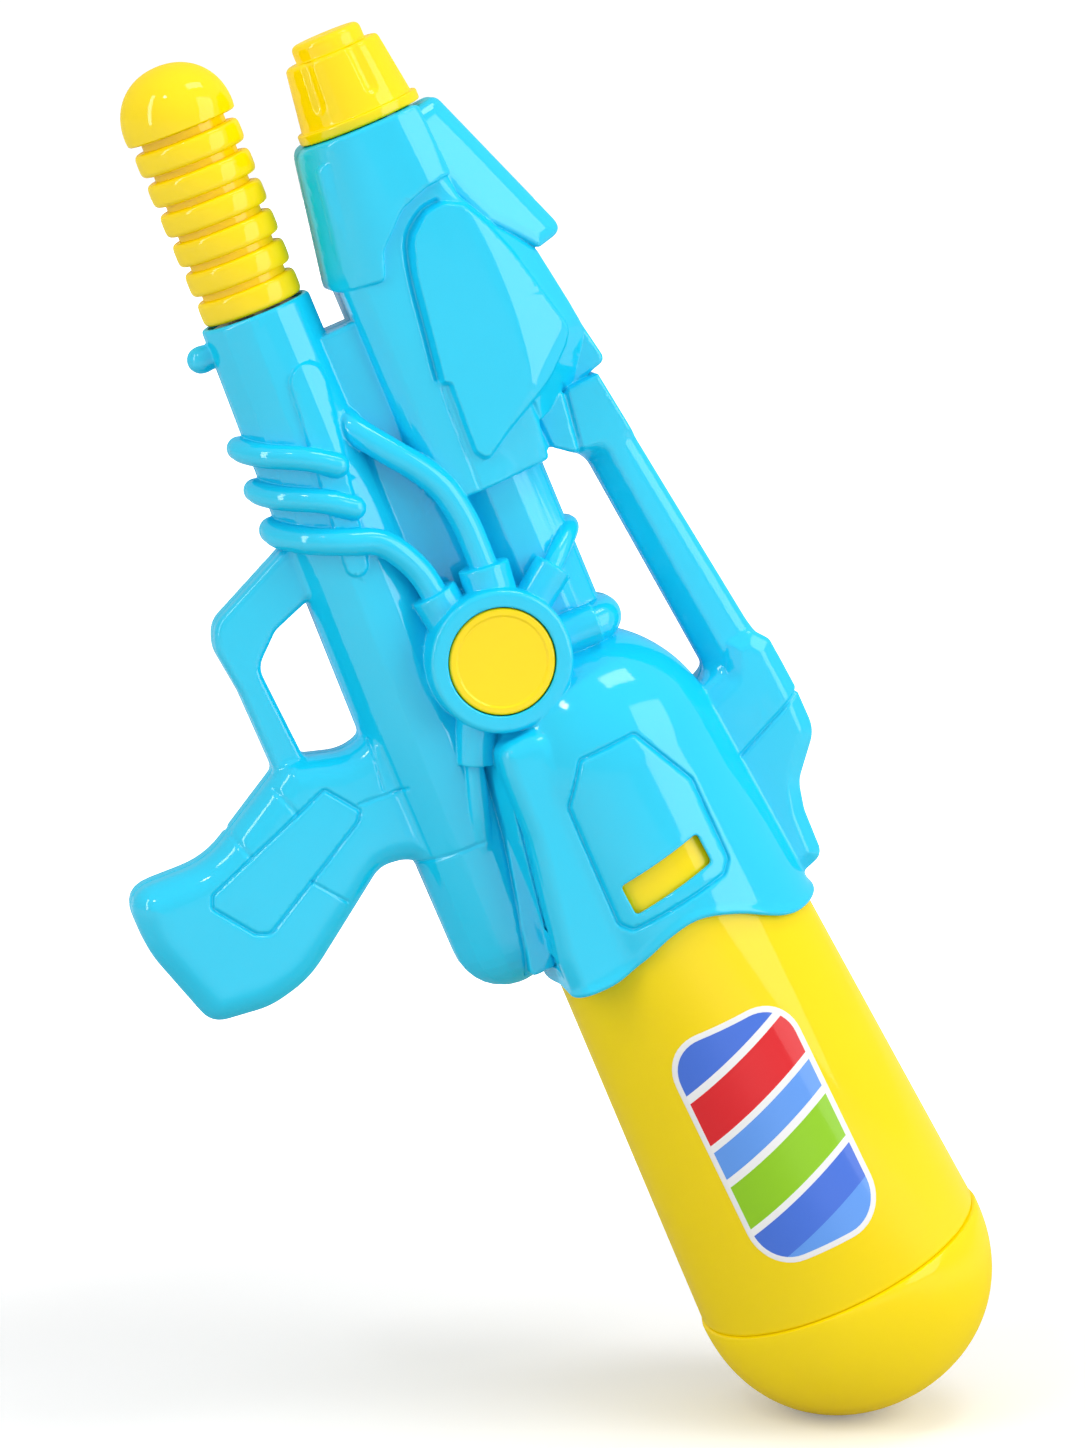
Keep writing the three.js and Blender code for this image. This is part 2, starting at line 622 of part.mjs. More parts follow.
function screwBosses() {
  return join(SCREW_PLACES.flatMap(([x, z, half]) => [
    solid(crossRod(x, z, -half + WALL / 2, 0, leftBossR, BOSS_SIDES)),
    solid(crossRod(x, z, 0, half - WALL / 2, rightBossR, BOSS_SIDES)),
  ]));
}

function screwHoles() {
  const tip = SCREW_SEAT_Y - SCREW_LENGTH - 2 * GAP;
  return join(SCREW_PLACES.flatMap(([x, z]) => [
    solid(crossRod(x, z, tip, FAR / 4, SCREW_R + GAP, BOSS_SIDES)),
    solid(crossRod(x, z, SCREW_SEAT_Y, FAR / 4, counterboreR, BOSS_SIDES)),
  ]));
}

// The whole casing, before it is split along its mid-plane.
function casing() {
  const forms = [
    plateForm(COWL_CORNERS, COWL_HALF, HOUSING_EDGE),
    plateForm(JACKET_CORNERS, JACKET_HALF, HOUSING_EDGE),
    plateForm(HANDLE_CORNERS, HANDLE_HALF, HANDLE_EDGE),
    plateForm(GRIP_CORNERS, GRIP_HALF, GRIP_EDGE),
    pumpTubeForm(),
    barrelForm(),
    shroudForm(),
    hubForm(),
  ];
  const peg = new THREE.SphereGeometry(PEG_R, SMALL_SIDES, HOSE_SIDES);
  peg.translate(PEG_X, 0, -TUBE_MOUTH_R - PEG_R * 0.5).applyMatrix4(pumpFrame);
  const leaf = solid(plate(LEAF_CORNERS, JACKET_HALF + LEAF_RELIEF, LEAF_RELIEF, 0, 1));
  const solids = [
    solid(plate(FIN_CORNERS, FIN_HALF, FIN_EDGE, 0, 1)),
    solid(plate(GUARD_CORNERS, GUARD_HALF, GUARD_EDGE, 0, 1)),
    solid(plate(WEB_CORNERS, WEB_HALF, WEB_EDGE, 0, 1)),
    solid(plate(BRIDGE_CORNERS, BRIDGE_HALF, WEB_EDGE, 0, 1)),
    solid(peg),
    leaf,
    sideRelief(-1),
    sideRelief(1),
  ];
  const outer = join([...forms.map((form) => form.outer), ...solids]);
  const hollow = join(forms.map((form) => form.hollow));
  const inside = join([innerRibs(), screwBosses()]);
  const stemHole = ring(COWL_FRONT_X - 1, stemFlangeX, STEM_R + GAP, 0, ROUND_SIDES);
  const discSeats = crossRod(HUB_X, HUB_Z, -FAR, FAR, DISC_R + GAP, ROUND_SIDES);
  const discKeep = crossRod(HUB_X, HUB_Z, -discFloorY, discFloorY, DISC_R + 2 * GAP, ROUND_SIDES);
  const pegHoles = crossRod(HUB_X, HUB_Z, -FAR, FAR, DISC_PEG_R + GAP, SMALL_SIDES);
  const cuts = join([
    solid(inFrame(stemHole, barrelFrame)),
    solid(discSeats).subtract(solid(discKeep)),
    solid(pegHoles),
    solid(slab(outlinePoints(WINDOW_CORNERS), FAR / 4)),
    screwHoles(),
  ]);
  return outer.subtract(hollow).add(inside).subtract(cuts);
}

function halfShells() {
  const whole = casing();
  const half = (side) => {
    const room = new THREE.BoxGeometry(2 * FAR, FAR, 2 * FAR);
    room.translate(0, (side * (FAR + SEAM_GAP)) / 2, 0);
    return whole.intersect(solid(room));
  };
  return [piece('left_shell', half(-1), BLUE), piece('right_shell', half(1), BLUE)];
}

// Hub discs, snapped into both ends of the hub
function hubDisc(name, side) {
  const edge = DISC_THICKNESS * 0.3;
  const profile = [
    [0, 0], [DISC_R, 0], [DISC_R, DISC_THICKNESS - edge], [DISC_R - edge, DISC_THICKNESS],
    [0, DISC_THICKNESS],
  ];
  const disc = new THREE.LatheGeometry(profile.map(([r, y]) => new THREE.Vector2(r, y)), ROUND_SIDES);
  const peg = crossRod(0, 0, -DISC_PEG_LENGTH, GAP, DISC_PEG_R, SMALL_SIDES);
  const shape = solid(disc).add(solid(peg));
  const mesh = piece(name, shape, YELLOW);
  mesh.position.set(HUB_X, side * (discFaceY - DISC_THICKNESS), HUB_Z);
  mesh.rotation.x = side > 0 ? 0 : Math.PI;
  return mesh;
}

// Shell screws, heads to the right
function shellScrew(number, [x, z]) {
  const head = crossRod(0, 0, GAP, SCREW_HEAD_LENGTH + GAP, SCREW_HEAD_R, SMALL_SIDES);
  const shank = crossRod(0, 0, -SCREW_LENGTH, GAP * 2, SCREW_R, SMALL_SIDES);
  const mesh = piece(`shell_screw_${number}`, solid(head).add(solid(shank)), STEEL);
  mesh.position.set(x, SCREW_SEAT_Y, z);
  return mesh;
}

// Nozzle end, in the barrel's frame
function nozzleParts() {
  const group = placedGroup(barrelFrame);
  const tip = nozzleBack - nozzleLength;
  const coneStart = tip + NOZZLE_TIP_LENGTH;
  const coneEnd = coneStart + NOZZLE_CONE_LENGTH;
  const spigotEnd = COWL_FRONT_X - STEM_LENGTH;
  const bore = STEM_R + GAP;
  const body = turned([
    [tip, JET_R], [tip, NOZZLE_TIP_R - 2], [tip + 2, NOZZLE_TIP_R], [coneStart, NOZZLE_TIP_R],
    [coneStart, NOZZLE_FRONT_R - 1], [coneStart + 1, NOZZLE_FRONT_R], [coneEnd, NOZZLE_REAR_R],
    [coneEnd, NOZZLE_FLANGE_R - 0.8], [coneEnd + 0.8, NOZZLE_FLANGE_R], [nozzleBack - 0.8, NOZZLE_FLANGE_R],
    [nozzleBack, NOZZLE_FLANGE_R - 0.8], [nozzleBack, bore], [spigotEnd - 2 * GAP, bore],
    [spigotEnd - 2 * GAP, JET_R], [tip, JET_R],
  ], ROUND_SIDES);
  const flutes = [];
  for (let i = 0; i < NOZZLE_FLUTES; i += 1) {
    const flute = swept([
      [coneStart - 4, 0, NOZZLE_FRONT_R + FLUTE_R - FLUTE_DEPTH],
      [coneEnd - 5, 0, NOZZLE_REAR_R + FLUTE_R - FLUTE_DEPTH],
      [coneEnd - 1, 0, NOZZLE_REAR_R + 2 * FLUTE_R],
    ], FLUTE_R, 4);
    flutes.push(solid(flute.rotateX(((i + 0.5) / NOZZLE_FLUTES) * 2 * Math.PI)));
  }
  const ringX = spigotEnd + STEM_LENGTH * 0.4;
  const grooveR = STEM_R - O_RING_WIRE + GAP;
  const tail = stemFlangeX + STEM_FLANGE_LENGTH;
  const stem = turned([
    [spigotEnd, BARB_BORE_R], [spigotEnd, STEM_R], [ringX - GAP, STEM_R], [ringX - GAP, grooveR],
    [ringX + O_RING_WIRE + GAP, grooveR], [ringX + O_RING_WIRE + GAP, STEM_R], [stemFlangeX, STEM_R],
    [stemFlangeX, STEM_FLANGE_R], [tail, STEM_FLANGE_R], [tail, BARB_R], [tail + STEM_TAIL_LENGTH, BARB_R],
    [tail + STEM_TAIL_LENGTH, BARB_BORE_R], [spigotEnd, BARB_BORE_R],
  ], ROUND_SIDES);
  const seal = ring(ringX, ringX + O_RING_WIRE, STEM_R + GAP / 3, grooveR + GAP, ROUND_SIDES);
  group.add(
    piece('nozzle', solid(body).subtract(join(flutes)), YELLOW),
    piece('nozzle_stem', solid(stem), NATURAL),
    piece('nozzle_o_ring', solid(seal), RUBBER),
  );
  return group;
}

// Pump, in the frame of its own axis: the mouth at zero, rearwards positive

// The rod's cross section, or the hole that it runs in.
function rodSection(x0, x1, clearance) {
  const width = ROD_ARM_WIDTH + 2 * clearance;
  const span = 2 * (ROD_ARM_R + clearance);
  const middle = (x0 + x1) / 2;
  return join([
    solid(ring(x0, x1, ROD_CORE_R + clearance, 0, SMALL_SIDES)),
    solid(new THREE.BoxGeometry(x1 - x0, width, span).translate(middle, 0, 0)),
    solid(new THREE.BoxGeometry(x1 - x0, span, width).translate(middle, 0, 0)),
  ]);
}

function pumpHandle() {
  const back = -2 * GAP;
  const front = back - (GRIP_RIBS - 1) * RIB_PITCH - RIB_WIDTH;
  const ease = 1.2;
  const profile = [[back, SLEEVE_SEAT_R]];
  for (let i = 0; i < GRIP_RIBS; i += 1) {
    const end = back - i * RIB_PITCH;
    const start = end - RIB_WIDTH;
    const top = RIB_REAR_R + ((RIB_FRONT_R - RIB_REAR_R) * i) / (GRIP_RIBS - 1);
    profile.push([end, GROOVE_R], [end - ease, top], [start + ease, top], [start, GROOVE_R]);
  }
  const seatFront = back - ROD_SEAT_DEPTH;
  const webFront = seatFront - SLEEVE_WEB;
  profile.push([front, SLEEVE_BORE_R], [webFront, SLEEVE_BORE_R], [webFront, PUMP_SCREW_R + GAP]);
  profile.push([seatFront, PUMP_SCREW_R + GAP], [seatFront, SLEEVE_SEAT_R], [back, SLEEVE_SEAT_R]);

  const domeBack = front - GAP;
  const lipBack = domeBack + CAP_LIP_LENGTH;
  const lipR = SLEEVE_BORE_R - GAP;
  const dome = [[lipBack, lipR - WALL], [lipBack, lipR], [domeBack, lipR], [domeBack, DOME_R]];
  const domeSteps = 6;
  for (let i = 1; i <= domeSteps; i += 1) {
    const angle = (i / domeSteps) * (Math.PI / 2);
    dome.push([domeBack - DOME_LENGTH * Math.sin(angle), DOME_R * Math.cos(angle)]);
  }
  for (let i = domeSteps; i >= 0; i -= 1) {
    const angle = (i / domeSteps) * (Math.PI / 2);
    dome.push([domeBack - (DOME_LENGTH - WALL) * Math.sin(angle), (lipR - WALL) * Math.cos(angle)]);
  }
  dome.push([lipBack, lipR - WALL]);

  const headBack = webFront - GAP;
  const headFront = headBack - PUMP_SCREW_HEAD_LENGTH;
  const screw = turned([
    [headFront, 0], [headFront, PUMP_SCREW_HEAD_R], [headBack, PUMP_SCREW_HEAD_R], [headBack, PUMP_SCREW_R],
    [headBack + PUMP_SCREW_LENGTH, PUMP_SCREW_R], [headBack + PUMP_SCREW_LENGTH, 0],
  ], SMALL_SIDES);
  const rodFront = seatFront + GAP;
  const rodSeat = pistonStart + PISTON_LENGTH * 0.6;
  const screwEnd = headBack + PUMP_SCREW_LENGTH + 2 * GAP;
  const screwHole = ring(rodFront - 1, screwEnd, PUMP_SCREW_R + GAP, 0, SMALL_SIDES);
  const rod = rodSection(rodFront, rodSeat - GAP, 0).subtract(solid(screwHole));
  return [
    piece('pump_grip', solid(turned(profile, ROUND_SIDES)), YELLOW),
    piece('pump_end_cap', solid(turned(dome, ROUND_SIDES)), YELLOW),
    piece('pump_screw', solid(screw), STEEL),
    piece('pump_rod', rod, NATURAL),
    ...pistonParts(rodSeat),
  ];
}

function pistonParts(rodSeat) {
  const ringStart = rodSeat + 0.8;
  const ringEnd = ringStart + O_RING_WIRE;
  const grooveR = pistonRingR - O_RING_WIRE - GAP;
  const body = turned([
    [pistonStart, 0], [pistonStart, pistonR], [ringStart - GAP, pistonR], [ringStart - GAP, grooveR],
    [ringEnd + GAP, grooveR], [ringEnd + GAP, pistonR], [pistonEnd, pistonR], [pistonEnd, 0],
  ], ROUND_SIDES);
  const seat = rodSection(pistonStart - 1, rodSeat, GAP);
  const seal = ring(ringStart, ringEnd, pistonRingR, grooveR + GAP, ROUND_SIDES);
  return [
    piece('piston', solid(body).subtract(seat), NATURAL),
    piece('piston_o_ring', solid(seal), RUBBER),
  ];
}

function cylinderParts() {
  const floor = CYLINDER_END - CYLINDER_FLOOR;
  const tube = turned([
    [cylinderStart, CYLINDER_BORE_R], [cylinderStart, cylinderR], [CYLINDER_END, cylinderR],
    [CYLINDER_END, 0],
    [floor, 0], [floor, CYLINDER_BORE_R], [cylinderStart, CYLINDER_BORE_R],
  ], ROUND_SIDES);
  const port = ring(floor - 1, CYLINDER_END + 1, PORT_R, 0, SMALL_SIDES).translate(0, 0, PORT_DEPTH);
  const flangeEnd = GLAND_SETBACK + GLAND_FLANGE_LENGTH;
  const gland = turned([
    [GLAND_SETBACK, 0], [GLAND_SETBACK, TUBE_MOUTH_R - WALL - GAP], [flangeEnd, TUBE_MOUTH_R - WALL - GAP],
    [flangeEnd, CYLINDER_BORE_R - GAP], [flangeEnd + GLAND_SPIGOT_LENGTH, CYLINDER_BORE_R - GAP],
    [flangeEnd + GLAND_SPIGOT_LENGTH, 0],
  ], ROUND_SIDES);
  const keyway = rodSection(GLAND_SETBACK - 1, flangeEnd + GLAND_SPIGOT_LENGTH + 1, GAP);
  return [
    piece('pump_cylinder', solid(tube).subtract(solid(port)), NATURAL),
    piece('cylinder_gland', solid(gland).subtract(keyway), NATURAL),
  ];
}

function valveParts() {
  const blockEnd = blockStart + BLOCK_LENGTH;
  const round = ring(blockStart, blockEnd, blockR, 0, ROUND_SIDES);
  const below = new THREE.BoxGeometry(FAR, FAR, FAR).translate(0, 0, BLOCK_TOP - FAR / 2);
  const gallery = ring(blockStart - 1, inletX, PORT_R, 0, SMALL_SIDES).translate(0, 0, PORT_DEPTH);
  const chamber = (x) => join([
    solid(standingRod(x, 0, CHAMBER_FLOOR, BLOCK_TOP + 1, CHAMBER_R, SMALL_SIDES)),
    solid(standingRod(x, 0, PORT_DEPTH, CHAMBER_FLOOR + 1, PORT_R, SMALL_SIDES)),
  ]);
  const relief = new THREE.BoxGeometry(2 * CHAMBER_R - 1, 1.4, 2).translate(inletX, 0, CHAMBER_FLOOR);
  const block = solid(round).intersect(solid(below))
    .subtract(join([solid(gallery), chamber(outletX), chamber(inletX), solid(relief)]));
  const ballZ = CHAMBER_FLOOR + BALL_R + BALL_SEAT_GAP;
  const ball = (name, x) => {
    const mesh = piece(name, solid(new THREE.SphereGeometry(BALL_R, SMALL_SIDES, HOSE_SIDES)), STEEL);
    mesh.position.set(x, 0, ballZ);
    return mesh;
  };
  const plugLow = ballZ + BALL_R + BALL_TRAVEL + GAP;
  const flangeLow = BLOCK_TOP + GAP;
  const flangeTop = flangeLow + FITTING_FLANGE_LENGTH;
  const fitting = (name, x) => {
    const shape = solid(turned([
      [plugLow, BARB_BORE_R], [plugLow, CHAMBER_R - GAP], [flangeLow, CHAMBER_R - GAP],
      [flangeLow, FITTING_FLANGE_R], [flangeTop, FITTING_FLANGE_R], [flangeTop, BARB_R],
      [flangeTop + BARB_LENGTH, BARB_R], [flangeTop + BARB_LENGTH, BARB_BORE_R], [plugLow, BARB_BORE_R],
    ], SMALL_SIDES).rotateY(-Math.PI / 2));
    const mesh = piece(name, shape, NATURAL);
    mesh.position.x = x;
    return mesh;
  };
  return [
    piece('valve_block', block, NATURAL),
    ball('inlet_ball', inletX),
    ball('outlet_ball', outletX),
    fitting('inlet_fitting', inletX),
    fitting('outlet_fitting', outletX),
  ];
}

// Hoses, in the whole object's frame

function pumpPoint(x, z) {
  return new THREE.Vector3(x, 0, z).applyMatrix4(pumpFrame).toArray();
}

function tankPoint(x, z) {
  return new THREE.Vector3(x, 0, z).applyMatrix4(tankFrame).toArray();
}

function hoseParts() {
  const low = BLOCK_TOP + FITTING_FLANGE_LENGTH + 2 * GAP;
  const suction = [
    pumpPoint(inletX, low), pumpPoint(inletX, low + BARB_LENGTH),
    tankPoint(spigotX, -socketR - BARB_LENGTH * 0.7), tankPoint(spigotX, -socketR - GAP),
  ];
  const stemTail = stemFlangeX + STEM_FLANGE_LENGTH + WALL + 2 * GAP;
  const delivery = [
    pumpPoint(outletX, low), pumpPoint(outletX, low + BARB_LENGTH),
    pumpPoint(outletX, low + 2.5 * BARB_LENGTH),
    [HUB_X + 6, 0, HUB_Z + 12], [HUB_X - 4, 0, HUB_Z + 21], [HUB_X - 26, 0, BARREL_Z - 1],
    [BARREL_FRONT_X, 0, BARREL_Z], [(BARREL_FRONT_X + stemTail) / 2, 0, BARREL_Z],
    [stemTail + STEM_TAIL_LENGTH, 0, BARREL_Z], [stemTail, 0, BARREL_Z],
  ];
  return [
    piece('suction_hose', pipe(suction, hoseR, hoseBoreR, 5), CLEAR_HOSE),
    piece('delivery_hose', pipe(delivery, hoseR, hoseBoreR, 20), CLEAR_HOSE),
  ];
}

// Tank and its socket, in the frame of the tank's axis

// A screw thread of a trapezoid section; root and crest are its radii.
function thread(start, root, crest) {
  const steps = Math.round(THREAD_TURNS * ROUND_SIDES);
  const section = [
    [-THREAD_ROOT_WIDTH / 2, root], [-THREAD_CREST_WIDTH / 2, crest],
    [THREAD_CREST_WIDTH / 2, crest], [THREAD_ROOT_WIDTH / 2, root],
  ];
  const positions = [];
  const faces = [];
  for (let i = 0; i <= steps; i += 1) {
    const angle = (i / ROUND_SIDES) * 2 * Math.PI;
    const advance = start + (i / ROUND_SIDES) * THREAD_PITCH;
    section.forEach(([x, r]) => positions.push(advance + x, -r * Math.sin(angle), r * Math.cos(angle)));
  }
  for (let i = 0; i < steps; i += 1) {
    for (let j = 0; j < 4; j += 1) {
      const p = 4 * i + j;
      const q = 4 * i + ((j + 1) % 4);
      faces.push(p, q, q + 4, p, q + 4, p + 4);
    }
  }
  const end = 4 * steps;
  faces.push(0, 2, 1, 0, 3, 2, end, end + 1, end + 2, end, end + 2, end + 3);
  const geometry = new THREE.BufferGeometry();
  geometry.setAttribute('position', new THREE.Float32BufferAttribute(positions, 3));
  geometry.setIndex(faces);
  return solid(geometry);
}

function tankParts() {
  const shoulderEnd = SHOULDER_X + SHOULDER_LENGTH;
  const shoulderSteps = 3;
  const outer = [[neckFront, NECK_R], [SHOULDER_X, NECK_R]];
  const inner = [[neckFront, NECK_R - NECK_WALL], [SHOULDER_X + TANK_WALL, NECK_R - NECK_WALL]];
  for (let i = 0; i <= shoulderSteps; i += 1) {
    const angle = (i / shoulderSteps) * (Math.PI / 2);
    const x = SHOULDER_X + SHOULDER_LENGTH * (1 - Math.cos(angle));
    const r = tankRadius(shoulderEnd) - SHOULDER_LENGTH * (1 - Math.sin(angle));
    outer.push([x, r]);
    inner.push([x + TANK_WALL * Math.cos(angle), r - TANK_WALL * Math.sin(angle)]);
  }
  outer.push([TANK_SEAM_X, tankRadius(TANK_SEAM_X)]);
  inner.push([TANK_SEAM_X, tankRadius(TANK_SEAM_X) - TANK_WALL]);
  const body = solid(turned([...outer, ...inner.reverse(), outer[0]], FINE_SIDES));
  const threadStart = neckFront + THREAD_PITCH / 2;
  const neckThread = thread(threadStart, NECK_R - 0.5, NECK_R + THREAD_HEIGHT);

  const capStart = TANK_SEAM_X + GAP;
  const capR = tankRadius(TANK_SEAM_X) + TANK_CAP_STEP;
  const lipStart = capStart - CAP_LIP_LENGTH;
  const lipR = tankRadius(lipStart) - TANK_WALL - GAP;
  const capSteps = 8;
  const dome = (length, radius, i) => {
    const angle = (i / capSteps) * (Math.PI / 2);
    const power = 2 / TANK_DOME_FULLNESS;
    return [capStart + length * Math.sin(angle) ** power, radius * Math.max(Math.cos(angle), 0) ** power];
  };
  const cap = [[lipStart, lipR - TANK_WALL], [lipStart, lipR], [capStart, lipR]];
  cap.push([capStart, capR - TANK_CAP_STEP], [capStart + TANK_CAP_STEP, capR]);
  for (let i = 1; i <= capSteps; i += 1) {
    cap.push(dome(TANK_DOME_LENGTH, capR, i));
  }
  for (let i = capSteps; i >= 0; i -= 1) {
    cap.push(dome(TANK_DOME_LENGTH - TANK_WALL, lipR - TANK_WALL, i));
  }
  cap.push(cap[0]);
  const gasketX = neckFront - GAP - GASKET_THICKNESS;
  const gasketR = NECK_R - THREAD_CLEARANCE;
  const gasket = ring(gasketX, gasketX + GASKET_THICKNESS, gasketR, NECK_R - NECK_WALL - 2, ROUND_SIDES);
  return [
    piece('tank_body', body.add(neckThread), YELLOW),
    piece('tank_end_cap', solid(turned(cap, FINE_SIDES)), YELLOW),
    piece('tank_gasket', solid(gasket), RUBBER),
  ];
}

function socketParts() {
  const mouth = SHOULDER_X - 2 * GAP;
  const flangeStart = bulkheadX + BULKHEAD + GAP;
  const cup = turned([
    [socketFront, 0], [socketFront, socketR], [flangeStart, socketR], [flangeStart, socketR + SOCKET_FLANGE],
    [flangeStart + SOCKET_FLANGE_LENGTH, socketR + SOCKET_FLANGE],
    [flangeStart + SOCKET_FLANGE_LENGTH, socketR],
    [mouth, socketR], [mouth, socketBoreR], [socketFloorX, socketBoreR], [socketFloorX, 0],
  ], ROUND_SIDES);
  const spigot = standingRod(spigotX, 0, -socketR - BARB_LENGTH * 0.7, -socketBoreR, BARB_R, SMALL_SIDES);
  const channel = standingRod(spigotX, 0, -FAR, 0, BARB_BORE_R, SMALL_SIDES);
  const dipSeat = ring(spigotX - BARB_BORE_R, socketFloorX + 1, DIP_TUBE_R + GAP, 0, SMALL_SIDES);
  const socketThread = thread(neckFront + THREAD_PITCH, socketBoreR + 0.5, NECK_R + THREAD_CLEARANCE);
  const socket = join([solid(cup), solid(spigot), socketThread])
    .subtract(join([solid(channel), solid(dipSeat)]));
  const dipStart = spigotX + BARB_BORE_R + GAP;
  const dipEnd = TANK_SEAM_X - 60;
  const dipLow = -tankRadius(dipEnd) + TANK_WALL + STRAINER_R + 4;
  const dip = [
    [dipStart, 0, 0], [SHOULDER_X + 10, 0, 0], [SHOULDER_X + 30, 0, 0], [SHOULDER_X + 65, 0, dipLow * 0.6],
    [dipEnd - 35, 0, dipLow], [dipEnd - 15, 0, dipLow], [dipEnd, 0, dipLow],
  ];
  const strainer = turned([
    [dipEnd - 8, DIP_TUBE_R + GAP], [dipEnd - 8, STRAINER_R], [dipEnd - 8 + STRAINER_LENGTH, STRAINER_R],
    [dipEnd - 8 + STRAINER_LENGTH, DIP_TUBE_R + GAP], [dipEnd - 8, DIP_TUBE_R + GAP],
  ], SMALL_SIDES).translate(0, 0, dipLow);
  return [
    piece('tank_socket', socket, NATURAL),
    piece('dip_tube', pipe(dip, DIP_TUBE_R, DIP_TUBE_BORE_R, 12), CLEAR_HOSE),
    piece('strainer', solid(strainer), NATURAL),
  ];
}

// The whole object

const squirter = new THREE.Group();
squirter.add(...halfShells());
squirter.add(hubDisc('hub_disc_left', -1), hubDisc('hub_disc_right', 1));
squirter.add(nozzleParts());
const pump = placedGroup(pumpFrame);
pump.add(...pumpHandle(), ...cylinderParts(), ...valveParts());
squirter.add(pump);
squirter.add(...hoseParts());
const tank = placedGroup(tankFrame);
tank.add(...tankParts(), ...socketParts());
squirter.add(tank);
SCREW_PLACES.forEach((place, i) => squirter.add(shellScrew(i + 1, place)));

export default squirter;
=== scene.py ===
"""Pump water squirter, dressed for the studio: smooth shells, yellow pieces, materials, light and camera."""

import math

import bmesh
import bpy
import numpy as np
import openvdb
from mathutils import Matrix, Vector


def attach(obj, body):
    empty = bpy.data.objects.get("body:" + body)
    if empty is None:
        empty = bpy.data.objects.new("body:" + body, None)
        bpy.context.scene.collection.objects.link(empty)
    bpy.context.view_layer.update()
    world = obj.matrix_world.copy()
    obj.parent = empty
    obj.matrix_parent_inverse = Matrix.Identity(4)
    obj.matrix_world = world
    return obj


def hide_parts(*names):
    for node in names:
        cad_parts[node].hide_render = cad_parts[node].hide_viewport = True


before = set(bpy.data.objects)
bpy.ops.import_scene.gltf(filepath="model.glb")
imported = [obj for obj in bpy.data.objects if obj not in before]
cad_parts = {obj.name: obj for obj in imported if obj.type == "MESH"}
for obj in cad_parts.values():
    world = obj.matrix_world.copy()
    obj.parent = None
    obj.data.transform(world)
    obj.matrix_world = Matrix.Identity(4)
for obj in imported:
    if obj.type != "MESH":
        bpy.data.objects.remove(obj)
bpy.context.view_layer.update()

MM = 0.001

# The grid and the meshes: lengths in mm
STEP = 0.5
GRID_LOW = (-224, -2.4 * 1.6, -57)
GRID_HIGH = (86, 50, 188)
PAST_MIDDLE = -9
PAST_SIDE = 60
FAR = 30.0
MARGIN = 7.0
FADE = 2
BAND = 3.0
ADAPTIVITY = 0.006
DRAW_ROUNDS = 3
SIDES = 160
FACE_LIMIT = 180000
SHARP_DEGREES = 40
FACETS = 12

# The casing's wall and joints, in mm
WALL = 2.2
GAP = 0.3
SEAM = 0.03
SEAM_DEPTH = 0.22
SEAM_WIDTH = 0.7

# The same places and sizes as the solids, in mm
BARREL_Z = 121.0
BARREL_R = 12.5
MOUTH = (-176.5, 64.7)
PUMP_DROOP = math.radians(1.2)
TUBE_MOUTH_R = 18.7
TUBE_MIDDLE_R = 20.2
TUBE_END_R = 18.0
TUBE_LENGTH = 244.5
TANK_AT = (10.0, 112.0)
TANK_RISE = math.radians(3.2)
TANK_R = 40.9
TANK_FLARE = math.radians(3.1)
TANK_SEAM = 195.6
TANK_CLEARANCE = 0.6
SHROUD_DOME = 47.7
HUB = (-41.3, 91.8)
HUB_R = 24.0
HUB_HALF = 32.0
DISC_R = 17.8
DISC_FACE = 31.4
DISC_THICKNESS = 3.2
SCREWS = [
    (-197, 106, 25), (-150, 149, 22.5), (-108, 88.7, 12), (-55, 159, 12), (32, 170, 12), (-84, 16, 8),
    (-10, 30, 15), (12, -34, 15), (40, 52.7, 16.6),
]


def tank_radius(x):
    return TANK_R + x * math.tan(TANK_FLARE)


# Curves and distances

def rounded(corners, steps=6, closed=True):
    """Points of a path of corners (x, z, radius), with each corner eased."""
    points = []
    last = len(corners) - 1
    for i, (x, z, radius) in enumerate(corners):
        here = np.array([x, z], float)
        if radius == 0 or (not closed and i in (0, last)):
            points.append(here)
            continue
        before = np.array(corners[i - 1][:2]) - here
        after = np.array(corners[(i + 1) % len(corners)][:2]) - here
        reach_before = np.linalg.norm(before)
        reach_after = np.linalg.norm(after)
        cosine = np.dot(before, after) / reach_before / reach_after
        half = math.acos(float(np.clip(cosine, -1, 1))) / 2
        reach = min(radius / math.tan(half), 0.48 * min(reach_before, reach_after))
        start = here + before / reach_before * reach
        end = here + after / reach_after * reach
        for t in np.linspace(0, 1, steps + 1):
            points.append((1 - t) ** 2 * start + 2 * t * (1 - t) * here + t * t * end)
    return np.array(points)


def spline(points, steps):
    """A smooth curve through points."""
    p = np.array(points, float)
    padded = np.vstack([2 * p[0] - p[1], p, 2 * p[-1] - p[-2]])
    curve = []
    for a, b, c, d in zip(padded, padded[1:], padded[2:], padded[3:]):
        for t in np.linspace(0, 1, steps, endpoint=False):
            curve.append(0.5 * (2 * b + (c - a) * t + (2 * a - 5 * b + 4 * c - d) * t ** 2
                                + (3 * b - a - 3 * c + d) * t ** 3))
    curve.append(p[-1])
    return np.array(curve)


def smooth_min(a, b, blend):
    if blend <= 0:
        return np.minimum(a, b)
    h = np.maximum(blend - np.abs(a - b), 0) / blend
    return np.minimum(a, b) - h * h * blend * 0.25


def smooth_max(a, b, blend):
    return -smooth_min(-a, -b, blend)


def ramp(value, low, high):
    t = np.clip((value - low) / (high - low), 0, 1)
    return t * t * (3 - 2 * t)


def hinge(value, ease=1.5):
    """The value where it is above zero, with an eased corner."""
    return 0.5 * (value + np.sqrt(value * value + ease * ease))


